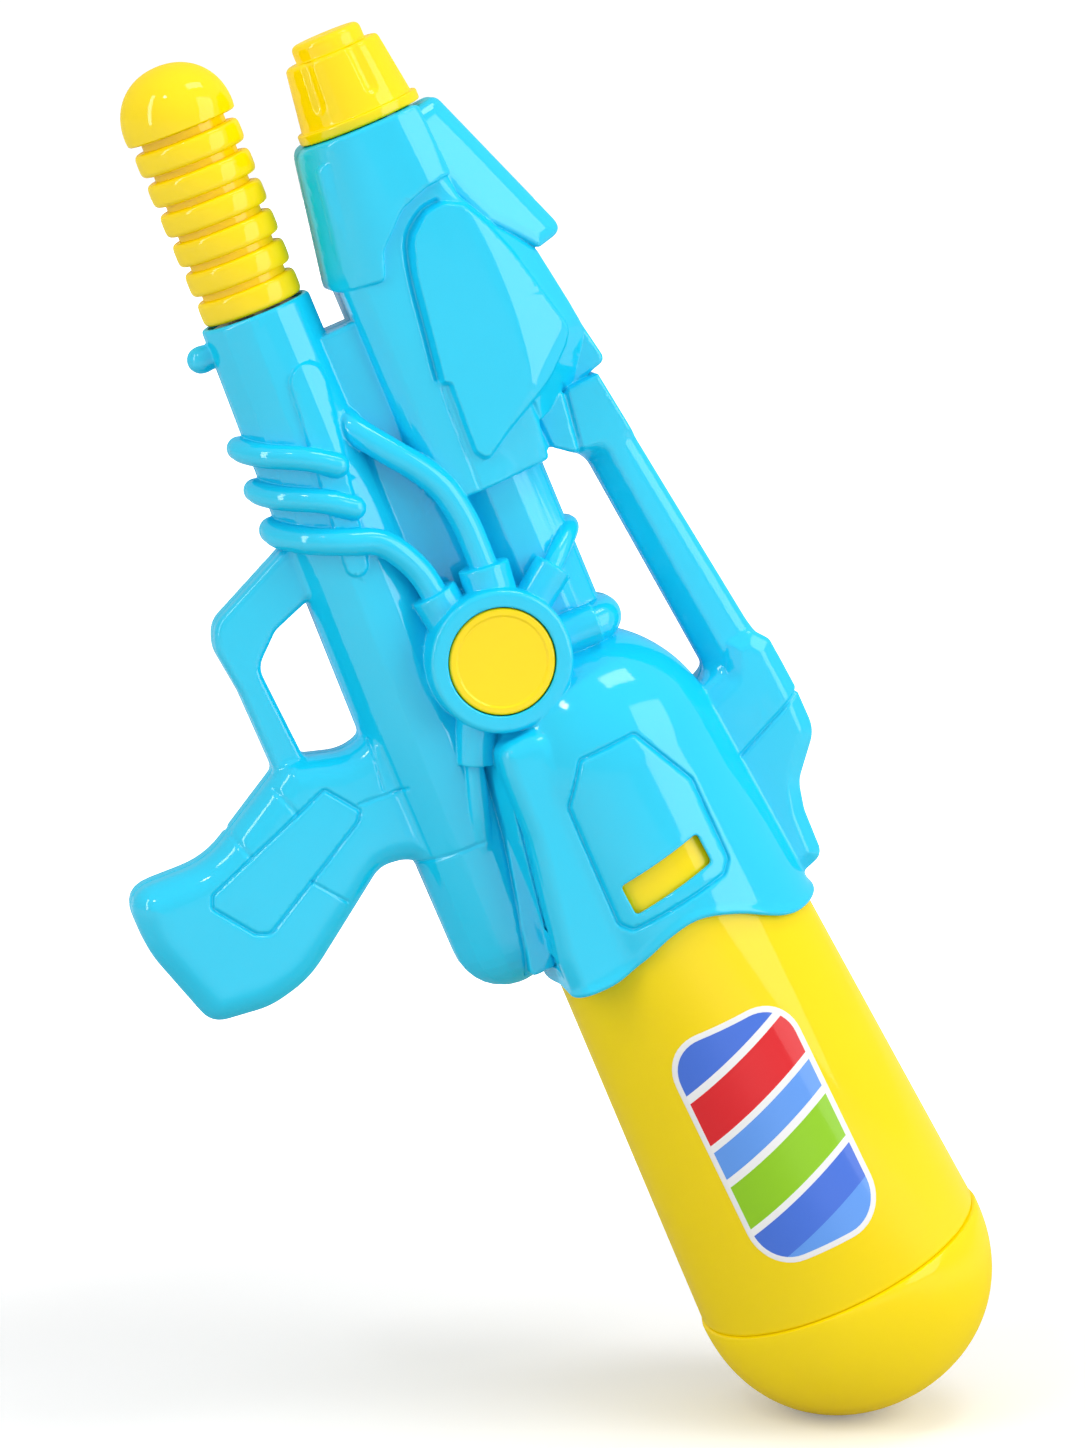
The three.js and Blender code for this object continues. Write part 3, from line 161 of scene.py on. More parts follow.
def line_distance(points, x, z):
    """Distance in a plane to a line of points."""
    best = None
    for (ax, az), (bx, bz) in zip(points, points[1:]):
        ex, ez = bx - ax, bz - az
        t = np.clip(((x - ax) * ex + (z - az) * ez) / max(ex * ex + ez * ez, 1e-9), 0, 1)
        square = (x - ax - t * ex) ** 2 + (z - az - t * ez) ** 2
        best = square if best is None else np.minimum(best, square)
    return np.sqrt(best)


def outline_distance(points, x, z):
    """Signed distance in a plane to a closed outline, negative inside."""
    closed = np.vstack([points, points[:1]])
    inside = np.zeros(np.broadcast(x, z).shape, bool)
    for (ax, az), (bx, bz) in zip(closed, closed[1:]):
        if az != bz:
            crossing = ax + (z - az) * ((bx - ax) / (bz - az))
            inside ^= ((az > z) != (bz > z)) & (x < crossing)
    distance = line_distance(closed, x, z)
    return np.where(inside, -distance, distance)


def edge_distance(side, top, edge):
    """Distance to a form with rounded edges, from the distances past its side and its top."""
    u = side + edge
    w = top + edge
    return np.hypot(np.maximum(u, 0), np.maximum(w, 0)) + np.minimum(np.maximum(u, w), 0) - edge


def along(x, z, place, angle):
    """Coordinates along and above an axis that rises by an angle in the XZ plane."""
    dx, dz = x - place[0], z - place[1]
    return dx * math.cos(angle) + dz * math.sin(angle), dz * math.cos(angle) - dx * math.sin(angle)


def facets(radius, angle, share):
    """A radius drawn by a share from a circle to a polygon."""
    sector = 2 * math.pi / FACETS
    turn = np.mod(angle + sector / 2, sector) - sector / 2
    return radius * (1 - share + share * np.cos(turn))


class Field:
    """Distances to one half of the casing: along the gun, out from the mid-plane, and up, in mm."""

    def __init__(self, low, high):
        self.low = np.array(low, float)
        self.high = np.array(high, float)
        self.axes = [np.arange(a, b, STEP, dtype=np.float32) for a, b in zip(low, high)]
        self.value = np.full([len(axis) for axis in self.axes], FAR, np.float32)

    def room(self, low, high):
        """The part of the grid in a box, and its coordinates."""
        spans = []
        for axis, start, a, b in zip(self.axes, self.low, low, high):
            first = min(max(int((a - start) / STEP), 0), len(axis) - 1)
            spans.append(slice(first, max(int((b - start) / STEP) + 2, first + 1)))
        x, out, z = (axis[span] for axis, span in zip(self.axes, spans))
        return tuple(spans), x[:, None, None], out[None, :, None], z[None, None, :]

    def around(self, points, reach, top):
        """The part of the grid round points in the XZ plane."""
        low, high = np.min(points, axis=0) - reach, np.max(points, axis=0) + reach
        return self.room((low[0], PAST_MIDDLE, low[1]), (high[0], top, high[1]))

    def add(self, spans, distance, blend=0.0):
        self.value[spans] = smooth_min(self.value[spans], distance, blend)

    def cut(self, spans, distance, blend=0.0):
        self.value[spans] = smooth_max(self.value[spans], -distance, blend)

    def plate(self, corners, half, edge, blend=0.0, bevel=None):
        """A plate of an outline; half is its half width, or a function of x and z; a bevel slants its border."""
        outline = rounded(corners)
        spans, x, out, z = self.around(outline, MARGIN, PAST_SIDE)
        side = outline_distance(outline, x, z)
        width = half(x, z) if callable(half) else half
        if bevel:
            reach, drop = bevel
            width = width - drop * np.minimum(hinge(1 + side / reach, 0.2), 1)
        self.add(spans, edge_distance(side, out - width, edge), blend)

    def turned(self, profile, place, angle, blend, share):
        """A body of revolution about an axis in the mid-plane, with lengthwise facets."""
        points = np.array([(profile[0][0], -PAST_SIDE), *profile, (profile[-1][0], -PAST_SIDE)], float)
        ends = np.array([[x * math.cos(angle), x * math.sin(angle)] for x, _ in profile]) + place
        reach = max(r for _, r in profile) + MARGIN
        spans, x, out, z = self.around(ends, reach, reach)
        run, rise = along(x, z, place, angle)
        radius = facets(np.hypot(out, rise), np.arctan2(rise, out), share)
        self.add(spans, outline_distance(points, run, radius), blend)

    def hose(self, points, radius, blend=0.0, steps=6):
        """A round hose along a smooth path."""
        path = spline(points, steps)
        low, high = path.min(0) - radius - MARGIN, path.max(0) + radius + MARGIN
        spans, x, out, z = self.room(low, high)
        best = None
        for a, b in zip(path, path[1:]):
            e = b - a
            t = ((x - a[0]) * e[0] + (out - a[1]) * e[1] + (z - a[2]) * e[2]) / np.dot(e, e)
            t = np.clip(t, 0, 1)
            square = (x - a[0] - t * e[0]) ** 2 + (out - a[1] - t * e[1]) ** 2 + (z - a[2] - t * e[2]) ** 2
            best = square if best is None else np.minimum(best, square)
        self.add(spans, np.sqrt(best) - radius, blend)

    def rod(self, start, end, radius, edge, blend=0.0, cut=False):
        """A round rod with eased ends between two points."""
        a, b = np.array(start, float), np.array(end, float)
        low, high = np.minimum(a, b) - radius - MARGIN, np.maximum(a, b) + radius + MARGIN
        spans, x, out, z = self.room(low, high)
        length = np.linalg.norm(b - a)
        e = (b - a) / length
        t = (x - a[0]) * e[0] + (out - a[1]) * e[1] + (z - a[2]) * e[2]
        square = (x - a[0]) ** 2 + (out - a[1]) ** 2 + (z - a[2]) ** 2 - t * t
        side = np.sqrt(np.maximum(square, 0)) - radius
        distance = edge_distance(side, np.abs(t - length / 2) - length / 2, edge)
        (self.cut if cut else self.add)(spans, distance, blend)

    def groove(self, points, width, depth, above, below=PAST_SIDE):
        """A line pressed into the outer side, between two distances from the mid-plane."""
        spans, x, out, z = self.around(points, 4 * width, below)
        press = depth * np.exp(-(line_distance(points, x, z) / width) ** 2)
        self.value[spans] += press * ramp(out, above - FADE, above) * (1 - ramp(out, below, below + FADE))

    def grooves(self, lines, **measures):
        for line in lines:
            self.groove(line, **measures)

    def raised(self, points, height, ease, above):
        """A panel that stands proud of the outer side by a height."""
        spans, x, out, z = self.around(points, MARGIN, PAST_SIDE)
        lift = height * ramp(-outline_distance(points, x, z), -ease / 2, ease / 2)
        self.value[spans] -= lift * ramp(out, above - FADE, above)


# The casing's forms: corners are x, z and radius, lines are x and z, hoses are x, out and z

COWL = [
    (-219, 97, 6), (-172, 88.5, 4), (-170.7, 105.5, 2.5), (-180, 108.8, 6), (-190, 119.5, 8), (-193.5, 130, 4),
    (-194, 139.4, 1), (-219, 138.2, 2),
]
JACKET = [
    (-213, 99, 4), (-172, 92.5, 2), (-114, 92.5, 6), (-100, 100, 6), (-94.5, 101, 1.5), (-94, 134.5, 2),
    (-107, 136, 4), (-115.5, 166, 3), (-135, 162, 30), (-160, 157.5, 8), (-172, 147, 8), (-186, 139, 4),
    (-214, 136, 2),
]
FIN = [
    (-218.5, 146.5, 4), (-161, 169.5, 4), (-159.3, 158, 2.5), (-166, 152.5, 2), (-175, 144.5, 6), (-186, 139, 0),
    (-206, 132, 0), (-216, 128, 0),
]
LEAF = [
    (-187, 132.5, 7), (-183.5, 139, 4), (-174, 144.2, 10), (-163, 148.4, 20), (-142, 154.1, 20), (-131.5, 157, 6),
    (-127, 153.5, 6), (-119.5, 144.5, 20), (-110, 124.9, 14), (-103.3, 114, 4), (-107.5, 111.2, 2.5),
    (-131.3, 112.3, 0), (-132.6, 110.2, 0), (-168.8, 115.4, 12), (-180, 119, 8), (-186, 126, 6),
]
HANDLE = [
    (-113, 161, 0), (-13, 177, 40), (-2, 181.5, 20), (12, 183, 0), (28, 183.5, 12), (42, 172, 12), (52, 170, 20),
    (69, 170, 5), (72, 161, 0), (72, 146, 0), (4, 146, 0), (-2, 154, 0), (-6, 158, 5), (-88, 148, 10), (-96, 138, 5),
    (-96, 130, 0), (-112, 130, 0),
]
HANDLE_BLOCK = [
    (3, 146, 0), (-2.4, 162.5, 3), (-13, 166, 3), (-13.5, 175.5, 4), (-7, 181, 4), (12, 183, 0), (28, 183.5, 12),
    (42, 172, 12), (52, 170, 20), (69, 170, 5), (72, 161, 0), (72, 146, 0),
]
GUARD = [
    (-104, 48.7, 0), (-87, 11, 12), (-79, 8, 12), (-62, 10, 0), (-18, 10.5, 0), (-18, 22, 0), (-68, 19, 8),
    (-77, 29, 8), (-84, 48.7, 0),
]
GRIP = [
    (-36, 50.7, 0), (-29.8, 35, 16), (-36, 15, 9), (-15, -22, 30), (-16.5, -52, 10), (5, -52, 40),
    (35.8, -42.6, 9), (38.8, -22, 30), (35.6, -6.5, 40), (10.5, 30, 10), (12, 40, 12), (24, 50.7, 0),
]
WEB = [(-161, 74.7, 2), (-161, 101, 2), (-45, 116, 0), (-45, 69.7, 0)]
BARREL_SIDE = [(-100, 103, 0), (-100, 132, 0), (12, 132, 0), (12, 103, 0)]
BRIDGE = [(-50, 64.7, 0), (-50, 91.8, 0), (30, 85.8, 0), (55, 64.7, 0)]
SHOULDER = [
    (-15.5, 78.5, 7), (-16.5, 97, 10), (40, 99, 0), (90, 97, 0), (90, 70, 0), (58, 70, 8), (17, 76.5, 20),
    (-6, 77, 7),
]
STRIP = [(-10, 74, 2), (-10, 80, 0), (64, 73, 0), (64.5, 61, 2.5), (15.6, 71.2, 0)]
SHROUD_EDGE = [
    (80, 181), (79, 158), (76, 146), (67, 131), (62.5, 118), (64, 107), (69, 95), (72.5, 83), (71.5, 66), (68, 46),
]
WINDOW = [(36, 128, 1.5), (47, 129, 1.5), (53, 99, 1.5), (42, 98, 1.5)]
SHROUD_PANEL = [
    (-3.2, 121.8, 2), (19.5, 134.1, 3), (48.7, 134.9, 3), (52.5, 131.4, 3), (57.4, 96.3, 3), (53.8, 92.8, 3),
    (11.3, 92.5, 3), (-2.4, 101.8, 2),
]
GRIP_PANEL = [
    (-23, 22.4, 1.5), (-11.2, 30.9, 2), (-8, 28.3, 2), (14.4, -12.9, 3), (12.4, -17.3, 3), (-1.7, -27.3, 2),
    (-5.6, -25.5, 2),
]
LEAF_GROOVE = [(-187.6, 131), (-186.6, 125), (-180.5, 117.8), (-169, 114.2), (-150, 111.4), (-134.5, 109.2)]
JACKET_GROOVE = [(-131, 109.6), (-122, 109), (-96, 108.2)]
HANDLE_GROOVE = [(12.3, 184), (25, 155.6)]
POST_GROOVES = [[(-114, 135.4), (-95, 136.9)], [(-114, 148.4), (-92, 145.6)]]
GRIP_LINES = [[(-13.5, 31), (-11.8, 48)], [(-31.5, 43), (-14.3, 40.6)], [(3.4, 6.2), (15.2, 14.8)]]
FINGER_LINES = [[(-29, 7.5), (-19, 11)], [(-25, -13), (-12.5, -9)]]
STRIP_LOWER = [(-9, 74.2), (15.6, 71), (64, 60.6)]
STRIP_UPPER = [(-9, 79.2), (15.6, 76.8), (64, 70.6)]
TUBE_RING = 190.6
SLEEVES = [
    ((-69.6, 19, 81), (-52, 19, 83.5), 7.9), ((-71.5, 19.5, 99.6), (-54, 19.5, 97.5), 8.6),
    ((-61.5, 18.5, 121.5), (-52, 19, 108), 6.6), ((-38.2, 17.5, 127.6), (-38.6, 18, 112), 6.8),
    ((-10.8, 18, 71.8), (-27, 19, 78.8), 6.5),
]
PUMP_TUBE = [(0, TUBE_MOUTH_R - 1), (0.3, TUBE_MOUTH_R - 0.4), (1, TUBE_MOUTH_R), (85.6, TUBE_MIDDLE_R),
             (146.7, TUBE_MIDDLE_R), (TUBE_LENGTH - TUBE_END_R, TUBE_END_R)]
PUMP_TUBE += [(TUBE_LENGTH - TUBE_END_R * (1 - math.sin(t)), TUBE_END_R * math.cos(t))
              for t in np.linspace(0, math.pi / 2, 9)[1:]]


def wrapped(x, degrees, lift):
    """A point on the pump tube, at a distance from its mouth and an angle up from its side."""
    angle = math.radians(degrees)
    radius = TUBE_MIDDLE_R + lift
    rise = radius * math.sin(angle)
    return (MOUTH[0] + x * math.cos(PUMP_DROOP) + rise * math.sin(PUMP_DROOP), radius * math.cos(angle),
            MOUTH[1] - x * math.sin(PUMP_DROOP) + rise * math.cos(PUMP_DROOP))


def cowl_half(x, z):
    """The cowl is round below, flat at its middle and has a slanted face along its top."""
    middle, widest, power = 116, 25.3, 2.2
    low = 97 - (x + 219) * 0.181
    share = np.clip((middle - z) / (middle - low + 0.3), 0, 0.995)
    side = widest * (1 - share ** power) ** (1 / power)
    return side - 0.6 * hinge(z - 130 - (x + 213) * 0.075)


def jacket_half(x, z):
    """The jacket's side is flat below a crease, slopes in above it and behind, and has two narrow facets below."""
    widest, narrowest = 22.0, 6
    crease = 141.3 - 0.003 * (x + 155) ** 2
    behind = (x + 121.8) * 0.807 + (z - 139.2) * 0.59
    wing = np.maximum(outline_distance(rounded(LEAF), x, z), 0) * ramp(z, 134, 142)
    above = 0.42 * hinge(z - crease) + 0.28 * hinge(behind) * ramp(z, 110, 124) + 0.5 * wing
    below = 0.2 * hinge(107 - z) + 0.7 * hinge(98.5 - z)
    return np.maximum(widest - above - below, narrowest)


def barrel_half(x, z):
    """The barrel has a flat side between two creases."""
    flat, lower, ease = 14.6, 111.3, 0.4
    return flat - 0.58 * hinge(z - BARREL_Z, ease) - 0.5 * hinge(lower - z, ease) + 0 * x


def fin_half(x, z):
    """The fin thins towards its top."""
    top = 146.5 + (x + 218.5) * 0.4
    return 7.5 + 0.6 * np.maximum(top - z, 0)


def handle_half(x, z):
    """The bar has a slanted face along its whole underside and a bevel along its top."""
    bar = ramp(x, -93, -86) * (1 - ramp(x, -8, -1))
    rise = (z - (148 + (x + 88) * 0.122)) * 0.99
    fall = (161 + (x + 113) * 0.16 - z) * 0.98
    under, over = hinge(7.5 - 1.1 * rise, 1.2), hinge(2.6 - 0.75 * fall, 1.4)
    widest, narrowest = 11, 2.5
    return np.maximum(widest - bar * (under + over), narrowest)


def grip_half(x, z):
    """The grip thins a little towards the tube."""
    return 15 - 0.006 * np.maximum(z, 0) ** 1.5


def add_forms(field):
    """The whole outside of the casing, joined with small fillets."""
    field.plate(WEB, half=11.5, edge=1.5)
    field.plate(JACKET, jacket_half, edge=1.6)
    field.turned([(-105, BARREL_R), (12, BARREL_R)], (0, BARREL_Z), 0, blend=0.6, share=0.9)
    field.plate(BARREL_SIDE, barrel_half, edge=1.0, blend=0.3)
    field.raised(rounded(LEAF), height=2.8, ease=1.5, above=6)
    field.groove(spline(LEAF_GROOVE, 5), width=1.0, depth=1.5, above=14)
    field.groove(spline(JACKET_GROOVE, 3), width=0.6, depth=0.5, above=14)
    field.plate(FIN, fin_half, edge=2.0, blend=0.4, bevel=(4, 1.5))
    field.plate(COWL, cowl_half, edge=1.3, blend=0.4)

    field.plate(HANDLE, handle_half, edge=1.5, blend=0.8)
    field.plate(HANDLE_BLOCK, half=14.2, edge=1.2, blend=0.4, bevel=(5, 3.6))
    field.groove(HANDLE_GROOVE, width=0.6, depth=1.1, above=6)
    field.grooves(POST_GROOVES, width=0.9, depth=1.2, above=6)

    field.plate(BRIDGE, half=15.5, edge=2, blend=1.5)
    field.turned(PUMP_TUBE, MOUTH, -PUMP_DROOP, blend=1.0, share=0.55)
    for low, high, radius, blend in ((0, 1.2, 4.4, 1.0), (2, 2.4, 4.6, 0.6)):
        field.hose([wrapped(8.5, -90, low), wrapped(8.5, -90, high)], radius, blend, 1)
    field.plate(GUARD, half=8, edge=2.6, blend=2.0)
    field.plate(GRIP, grip_half, edge=7.5, blend=2.0, bevel=(8.5, 2))

    add_slot(field)
    add_shroud(field)
    field.plate(STRIP, half=17.5, edge=1.2, blend=0.4)
    add_hub(field)
    add_hoses(field)
    add_lines(field)


def shoulder_half(x, z):
    """The shoulder widens with the tank."""
    return 36.8 + 0.045 * (x + 10)


def add_shroud(field):
    """The domed shroud round the tank's neck, with its shoulder and a rim along its wavy edge."""
    wide = TANK_R + (TANK_CLEARANCE + WALL)
    blend = 1.6
    shroud = Field(field.low, field.high)
    spans, x, out, z = shroud.room((-50, PAST_MIDDLE, 50), (90, PAST_SIDE, 180))
    run, rise = along(x, z, TANK_AT, TANK_RISE)
    radius = np.hypot(out, rise)
    scale = np.hypot(run / SHROUD_DOME, radius / wide)
    dome = scale * (scale - 1) / np.maximum(np.hypot(run / SHROUD_DOME ** 2, radius / wide ** 2), 1e-6)
    shroud.add(spans, np.where(run < 0, dome, radius - wide - run * math.tan(TANK_FLARE)))
    shroud.plate(SHOULDER, shoulder_half, edge=6, blend=blend)
    behind = np.vstack([spline(SHROUD_EDGE, 6), [(400, 46), (400, 181)]])
    spans, x, out, z = shroud.room((40, PAST_MIDDLE, 40), (90, PAST_SIDE, 190))
    past = outline_distance(behind, x, z)
    rim, rim_at, rim_width = 0.7, 1.4, 1.5
    shroud.value[spans] -= rim * np.exp(-((past - rim_at) / rim_width) ** 2)
    shroud.cut(spans, past + 0 * out, blend)
    spans = shroud.room((84, PAST_MIDDLE, -60), (400, PAST_SIDE, 400))[0]
    shroud.value[spans] = FAR
    field.value = smooth_min(field.value, shroud.value, blend)


def add_hub(field):
    """The round hub and the sleeves that the hoses enter."""
    for outer, inner, radius in SLEEVES:
        field.rod(outer, inner, radius, edge=0.8, blend=0.4)
    spans, x, out, z = field.around([HUB], HUB_R + 10, PAST_SIDE)
    radius = np.hypot(x - HUB[0], z - HUB[1])
    field.add(spans, edge_distance(radius - HUB_R, out - HUB_HALF, 2.0), 0.5)


def add_hoses(field):
    """The moulded hoses: two loops on the tube, and those that meet at the hub."""
    for x in (40, 55):
        loop = [wrapped(x, -100, 1.0), wrapped(x + 1, -75, 1.8), wrapped(x + 4, -45, 2.2),
                wrapped(x + 9, -12, 2.2), wrapped(x + 15, 11, 1.8)]
        field.hose(loop, 4.0, 0.4)
    lower = [wrapped(69, -100, 1.0), wrapped(71, -70, 1.8), wrapped(75, -36, 2.2), wrapped(79, -8, 2.6),
             (-93, 21.5, 70), (-86.5, 21, 75.4), (-77, 20, 79.6), (-66, 19.5, 81.4)]
    upper = [(-134, 10, 76), (-127.5, 15, 79.2), (-118, 18, 86), (-109, 19, 92.6), (-99.5, 19.5, 97.4),
             (-88.5, 19.5, 99.5), (-79.5, 19.5, 99.8), (-69, 19.5, 99.6)]
    feed = [(-14, 18, 72.8), (-5, 18.6, 69.6), (6, 18, 66.2), (24, 14, 61.5)]
    over = [(-60, 18, 119.5), (-64, 15, 125), (-67.5, 9.5, 130.5), (-69, 4, 133.2), (-69, -4, 133.5)]
    knob = [(-37, 13.6, 125.5), (-37, 11.5, 129.6), (-37, 5, 131.9), (-37, -4, 132)]
    hoses = [(lower, 4.5, 0.4), (upper, 4.7, 0.4), (feed, 3.5, 0.4), (over, 3.4, 0.5), (knob, 6.6, 0.5)]
    for path, radius, blend in hoses:
        field.hose(path, radius, blend)


def add_slot(field):
    """The long tapered boss on the pump tube."""
    start, end = np.array([-150, 70.2]), np.array([-88.6, 60.9])
    radius, taper, height, ease = 6.2, 2.5, 1.5, 0.5
    spans, x, out, z = field.room((-162, 6, 50), (-78, PAST_SIDE, 84))
    e = end - start
    t = np.clip(((x - start[0]) * e[0] + (z - start[1]) * e[1]) / np.dot(e, e), 0, 1)
    past = np.hypot(x - start[0] - t * e[0], z - start[1] - t * e[1]) - (radius - taper * t)
    field.value[spans] -= height * ramp(-past, -ease, ease) * ramp(out, 10 - FADE, 10)


def add_lines(field):
    """Panels and parting lines pressed into the sides."""
    panel = rounded(SHROUD_PANEL)
    field.groove(np.vstack([panel, panel[:1]]), width=0.65, depth=1.3, above=24)
    grip = rounded(GRIP_PANEL)
    field.groove(np.vstack([grip, grip[:1]]), width=0.6, depth=1.1, above=8, below=17)
    field.grooves(GRIP_LINES, width=0.5, depth=0.7, above=8, below=17)
    field.grooves(FINGER_LINES, width=0.9, depth=0.6, above=5, below=17)
    field.groove(STRIP_LOWER, width=0.6, depth=1.0, above=8, below=24)
    field.groove(STRIP_UPPER, width=0.7, depth=1.2, above=8, below=26)
    ring_x = MOUTH[0] + TUBE_RING
    field.groove([(ring_x, 40), (ring_x + 0.4, 64)], width=0.55, depth=0.6, above=3, below=21)


def hollow(field):
    """Leaves the wall, and opens the places where other pieces go in."""
    v = field.value
    np.maximum(v, -(v + WALL), out=v)
    spans, x, out, z = field.room((-190, PAST_MIDDLE, 40), (-160, PAST_SIDE, 90))
    run, rise = along(x, z, MOUTH, -PUMP_DROOP)
    bore = np.maximum(np.hypot(out, rise) - (TUBE_MOUTH_R - WALL), run - 14)
    field.cut(spans, bore, 0.5)
    spans, x, out, z = field.room((-15, PAST_MIDDLE, 40), (90, PAST_SIDE, 190))
    run, rise = along(x, z, TANK_AT, TANK_RISE)
    inside = np.hypot(out, rise) - (tank_radius(run) + TANK_CLEARANCE)
    field.cut(spans, np.maximum(inside, 7 - run), 0.4)
    window = rounded(WINDOW)
    spans, x, out, z = field.around(window, MARGIN, PAST_SIDE)
    field.cut(spans, np.maximum(outline_distance(window, x, z), 20 - out), 0.8)
    field.rod((-225, 0, BARREL_Z), (-214, 0, BARREL_Z), 8.3, edge=0.2, cut=True)
    past_hub = (HUB[0], 50, HUB[1])
    behind_disc = (HUB[0], DISC_FACE - DISC_THICKNESS - GAP, HUB[1])
    field.rod(behind_disc, past_hub, DISC_R + GAP, edge=0.2, blend=0.7, cut=True)
    field.rod((HUB[0], 10, HUB[1]), past_hub, 4.3, edge=0.2, cut=True)


def add_bosses(field, outside, side):
    """Screw bosses: the right ones take the heads, the left ones the threads."""
    reach, hole, head, seat = 9, 1.5, 3.6, 5.5
    thick = 5.4 if side > 0 else 3.3
    for x, z, half in SCREWS:
        spans, gx, out, gz = field.around([(x, z)], reach, half + 4)
        radius = np.hypot(gx - x, gz - z)
        field.add(spans, np.maximum(np.maximum(radius - thick, -1 - out), outside[spans] + 0.8))
        if side > 0:
            field.cut(spans, np.minimum(radius - hole, np.maximum(radius - head, seat - out)))
        else:
            field.cut(spans, np.maximum(radius - hole, outside[spans] + 2.5))


# Meshes

def new_object(name, points, faces):
    mesh = bpy.data.meshes.new(name)
    mesh.from_pydata(points, [], faces)
    mesh.update()
    thing = bpy.data.objects.new(name, mesh)
    bpy.context.scene.collection.objects.link(thing)
    return thing


def finish_mesh(thing, sharp_degrees=None):
    """Outward faces and smooth shading, sharp only at edges beyond an angle."""
    work = bmesh.new()
    work.from_mesh(thing.data)
    bmesh.ops.recalc_face_normals(work, faces=work.faces)
    if work.calc_volume(signed=True) < 0:
        bmesh.ops.reverse_faces(work, faces=work.faces)
    for face in work.faces:
        face.smooth = True
    if sharp_degrees:
        limit = math.radians(sharp_degrees)
        for edge in work.edges:
            if len(edge.link_faces) == 2 and edge.calc_face_angle() > limit:
                edge.smooth = False
    work.to_mesh(thing.data)
    work.free()


def sample(values, places):
    """Values between the grid's points."""
    base = np.clip(np.floor(places).astype(int), 0, np.array(values.shape) - 2)
    part = places - base
    total = np.zeros(len(places))
    for corner in np.ndindex(2, 2, 2):
        weight = np.prod(np.where(np.array(corner), part, 1 - part), axis=1)
        i, j, k = (base + corner).T
        total += weight * values[i, j, k]
    return total


def slopes(values, places):
    """How fast the values change along each axis at places between the grid's points."""
    return np.stack([sample(values, places + d) - sample(values, places - d) for d in 0.5 * np.eye(3)], axis=1)


def thin_out(thing):
    """Takes points out of the flatter stretches until the mesh has no more faces than the limit."""
    thing.data.calc_loop_triangles()
    share = FACE_LIMIT / len(thing.data.loop_triangles)
    if share >= 1:
        return
    modifier = thing.modifiers.new("thin out", "DECIMATE")
    modifier.ratio = share
    seen = thing.evaluated_get(bpy.context.evaluated_depsgraph_get())
    mesh = bpy.data.meshes.new_from_object(seen)
    thing.modifiers.clear()
    thing.data = mesh


def shell_mesh(name, field, side):
    """A closed mesh on the field's zero, with its points drawn onto it and its normals read from it."""
    band = np.clip(field.value, -BAND, BAND).astype(np.float32)
    grid = openvdb.FloatGrid(BAND)
    grid.copyFromArray(band)
    points, triangles, quads = grid.convertToPolygons(0.0, ADAPTIVITY)
    points = np.array(points, float)
    least_square, longest = 0.09 * STEP ** 2, 0.4
    for _ in range(DRAW_ROUNDS):
        slope = slopes(band, points)
        square = np.maximum((slope ** 2).sum(1), least_square)
        points -= np.clip(slope * (sample(band, points) / square)[:, None], -longest, longest)
    places = (points * STEP + field.low) * MM
    places[:, 1] *= side
    thing = new_object(name, places.tolist(), np.array(triangles).tolist() + np.array(quads).tolist())
    thin_out(thing)
    finish_mesh(thing)
    places = np.empty(3 * len(thing.data.vertices))
    thing.data.vertices.foreach_get("co", places)
    points = (places.reshape(-1, 3) * (1, side, 1) / MM - field.low) / STEP
    normals = slopes(band, points) * (1, side, 1)
    normals /= np.maximum(np.linalg.norm(normals, axis=1, keepdims=True), 1e-9)
    thing.data.normals_split_custom_set_from_vertices(normals.tolist())
    return thing


def turned_mesh(name, profile, matrix, sides=SIDES, shape=None):
    """A closed body of revolution about X from a closed profile; shape may move each ring's points."""
    profile = np.array(profile, float)
    angles = np.linspace(0, 2 * math.pi, sides, endpoint=False)
    on_axis = np.abs(profile[:, 1]) < 1e-6
    points, rows = [], []
    for (x, r), single in zip(profile, on_axis):
        rows.append(len(points))
        for angle in angles[:1] if single else angles:
            radius = shape(x, r, angle) if shape and not single else r
            points.append(matrix @ Vector((x * MM, -radius * math.sin(angle) * MM, radius * math.cos(angle) * MM)))
    faces = []
    count = len(profile)
    closed = range(count) if not (on_axis[0] and on_axis[-1]) else range(count - 1)
    for i in closed:
        k = (i + 1) % count
        for j in range(sides):
            corners = ((i, j), (i, j + 1), (k, j + 1), (k, j))
            face = list(dict.fromkeys(rows[row] + (0 if on_axis[row] else turn % sides) for row, turn in corners))
            if len(face) > 2:
                faces.append(face)
    thing = new_object(name, points, faces)
    finish_mesh(thing, SHARP_DEGREES)
    return thing


def axis_matrix(place, angle):
    """The frame of an axis in the mid-plane that rises by an angle."""
    return Matrix.Translation((place[0] * MM, 0, place[1] * MM)) @ Matrix.Rotation(-angle, 4, "Y")


BARREL_FRAME = axis_matrix((0, BARREL_Z), 0)
PUMP_FRAME = axis_matrix(MOUTH, -PUMP_DROOP)
TANK_FRAME = axis_matrix(TANK_AT, TANK_RISE)


def arc(centre_x, centre_r, length, radius, start, end, steps, power=1.0):
    """Points of an elliptic arc, with angles in degrees from the X axis."""
    points = []
    for t in np.radians(np.linspace(start, end, steps)):
        c, s = math.cos(t), math.sin(t)
        points.append((centre_x + length * math.copysign(abs(c) ** power, c),
                       centre_r + radius * math.copysign(abs(s) ** power, s)))
    return points


# Materials

NOISE_SPAN = (0.3, 0.7)
GLOSS_SPREAD = (0.93, 1.07)
COAT_IOR = 2.2
SKIN_HEIGHT = 0.0006


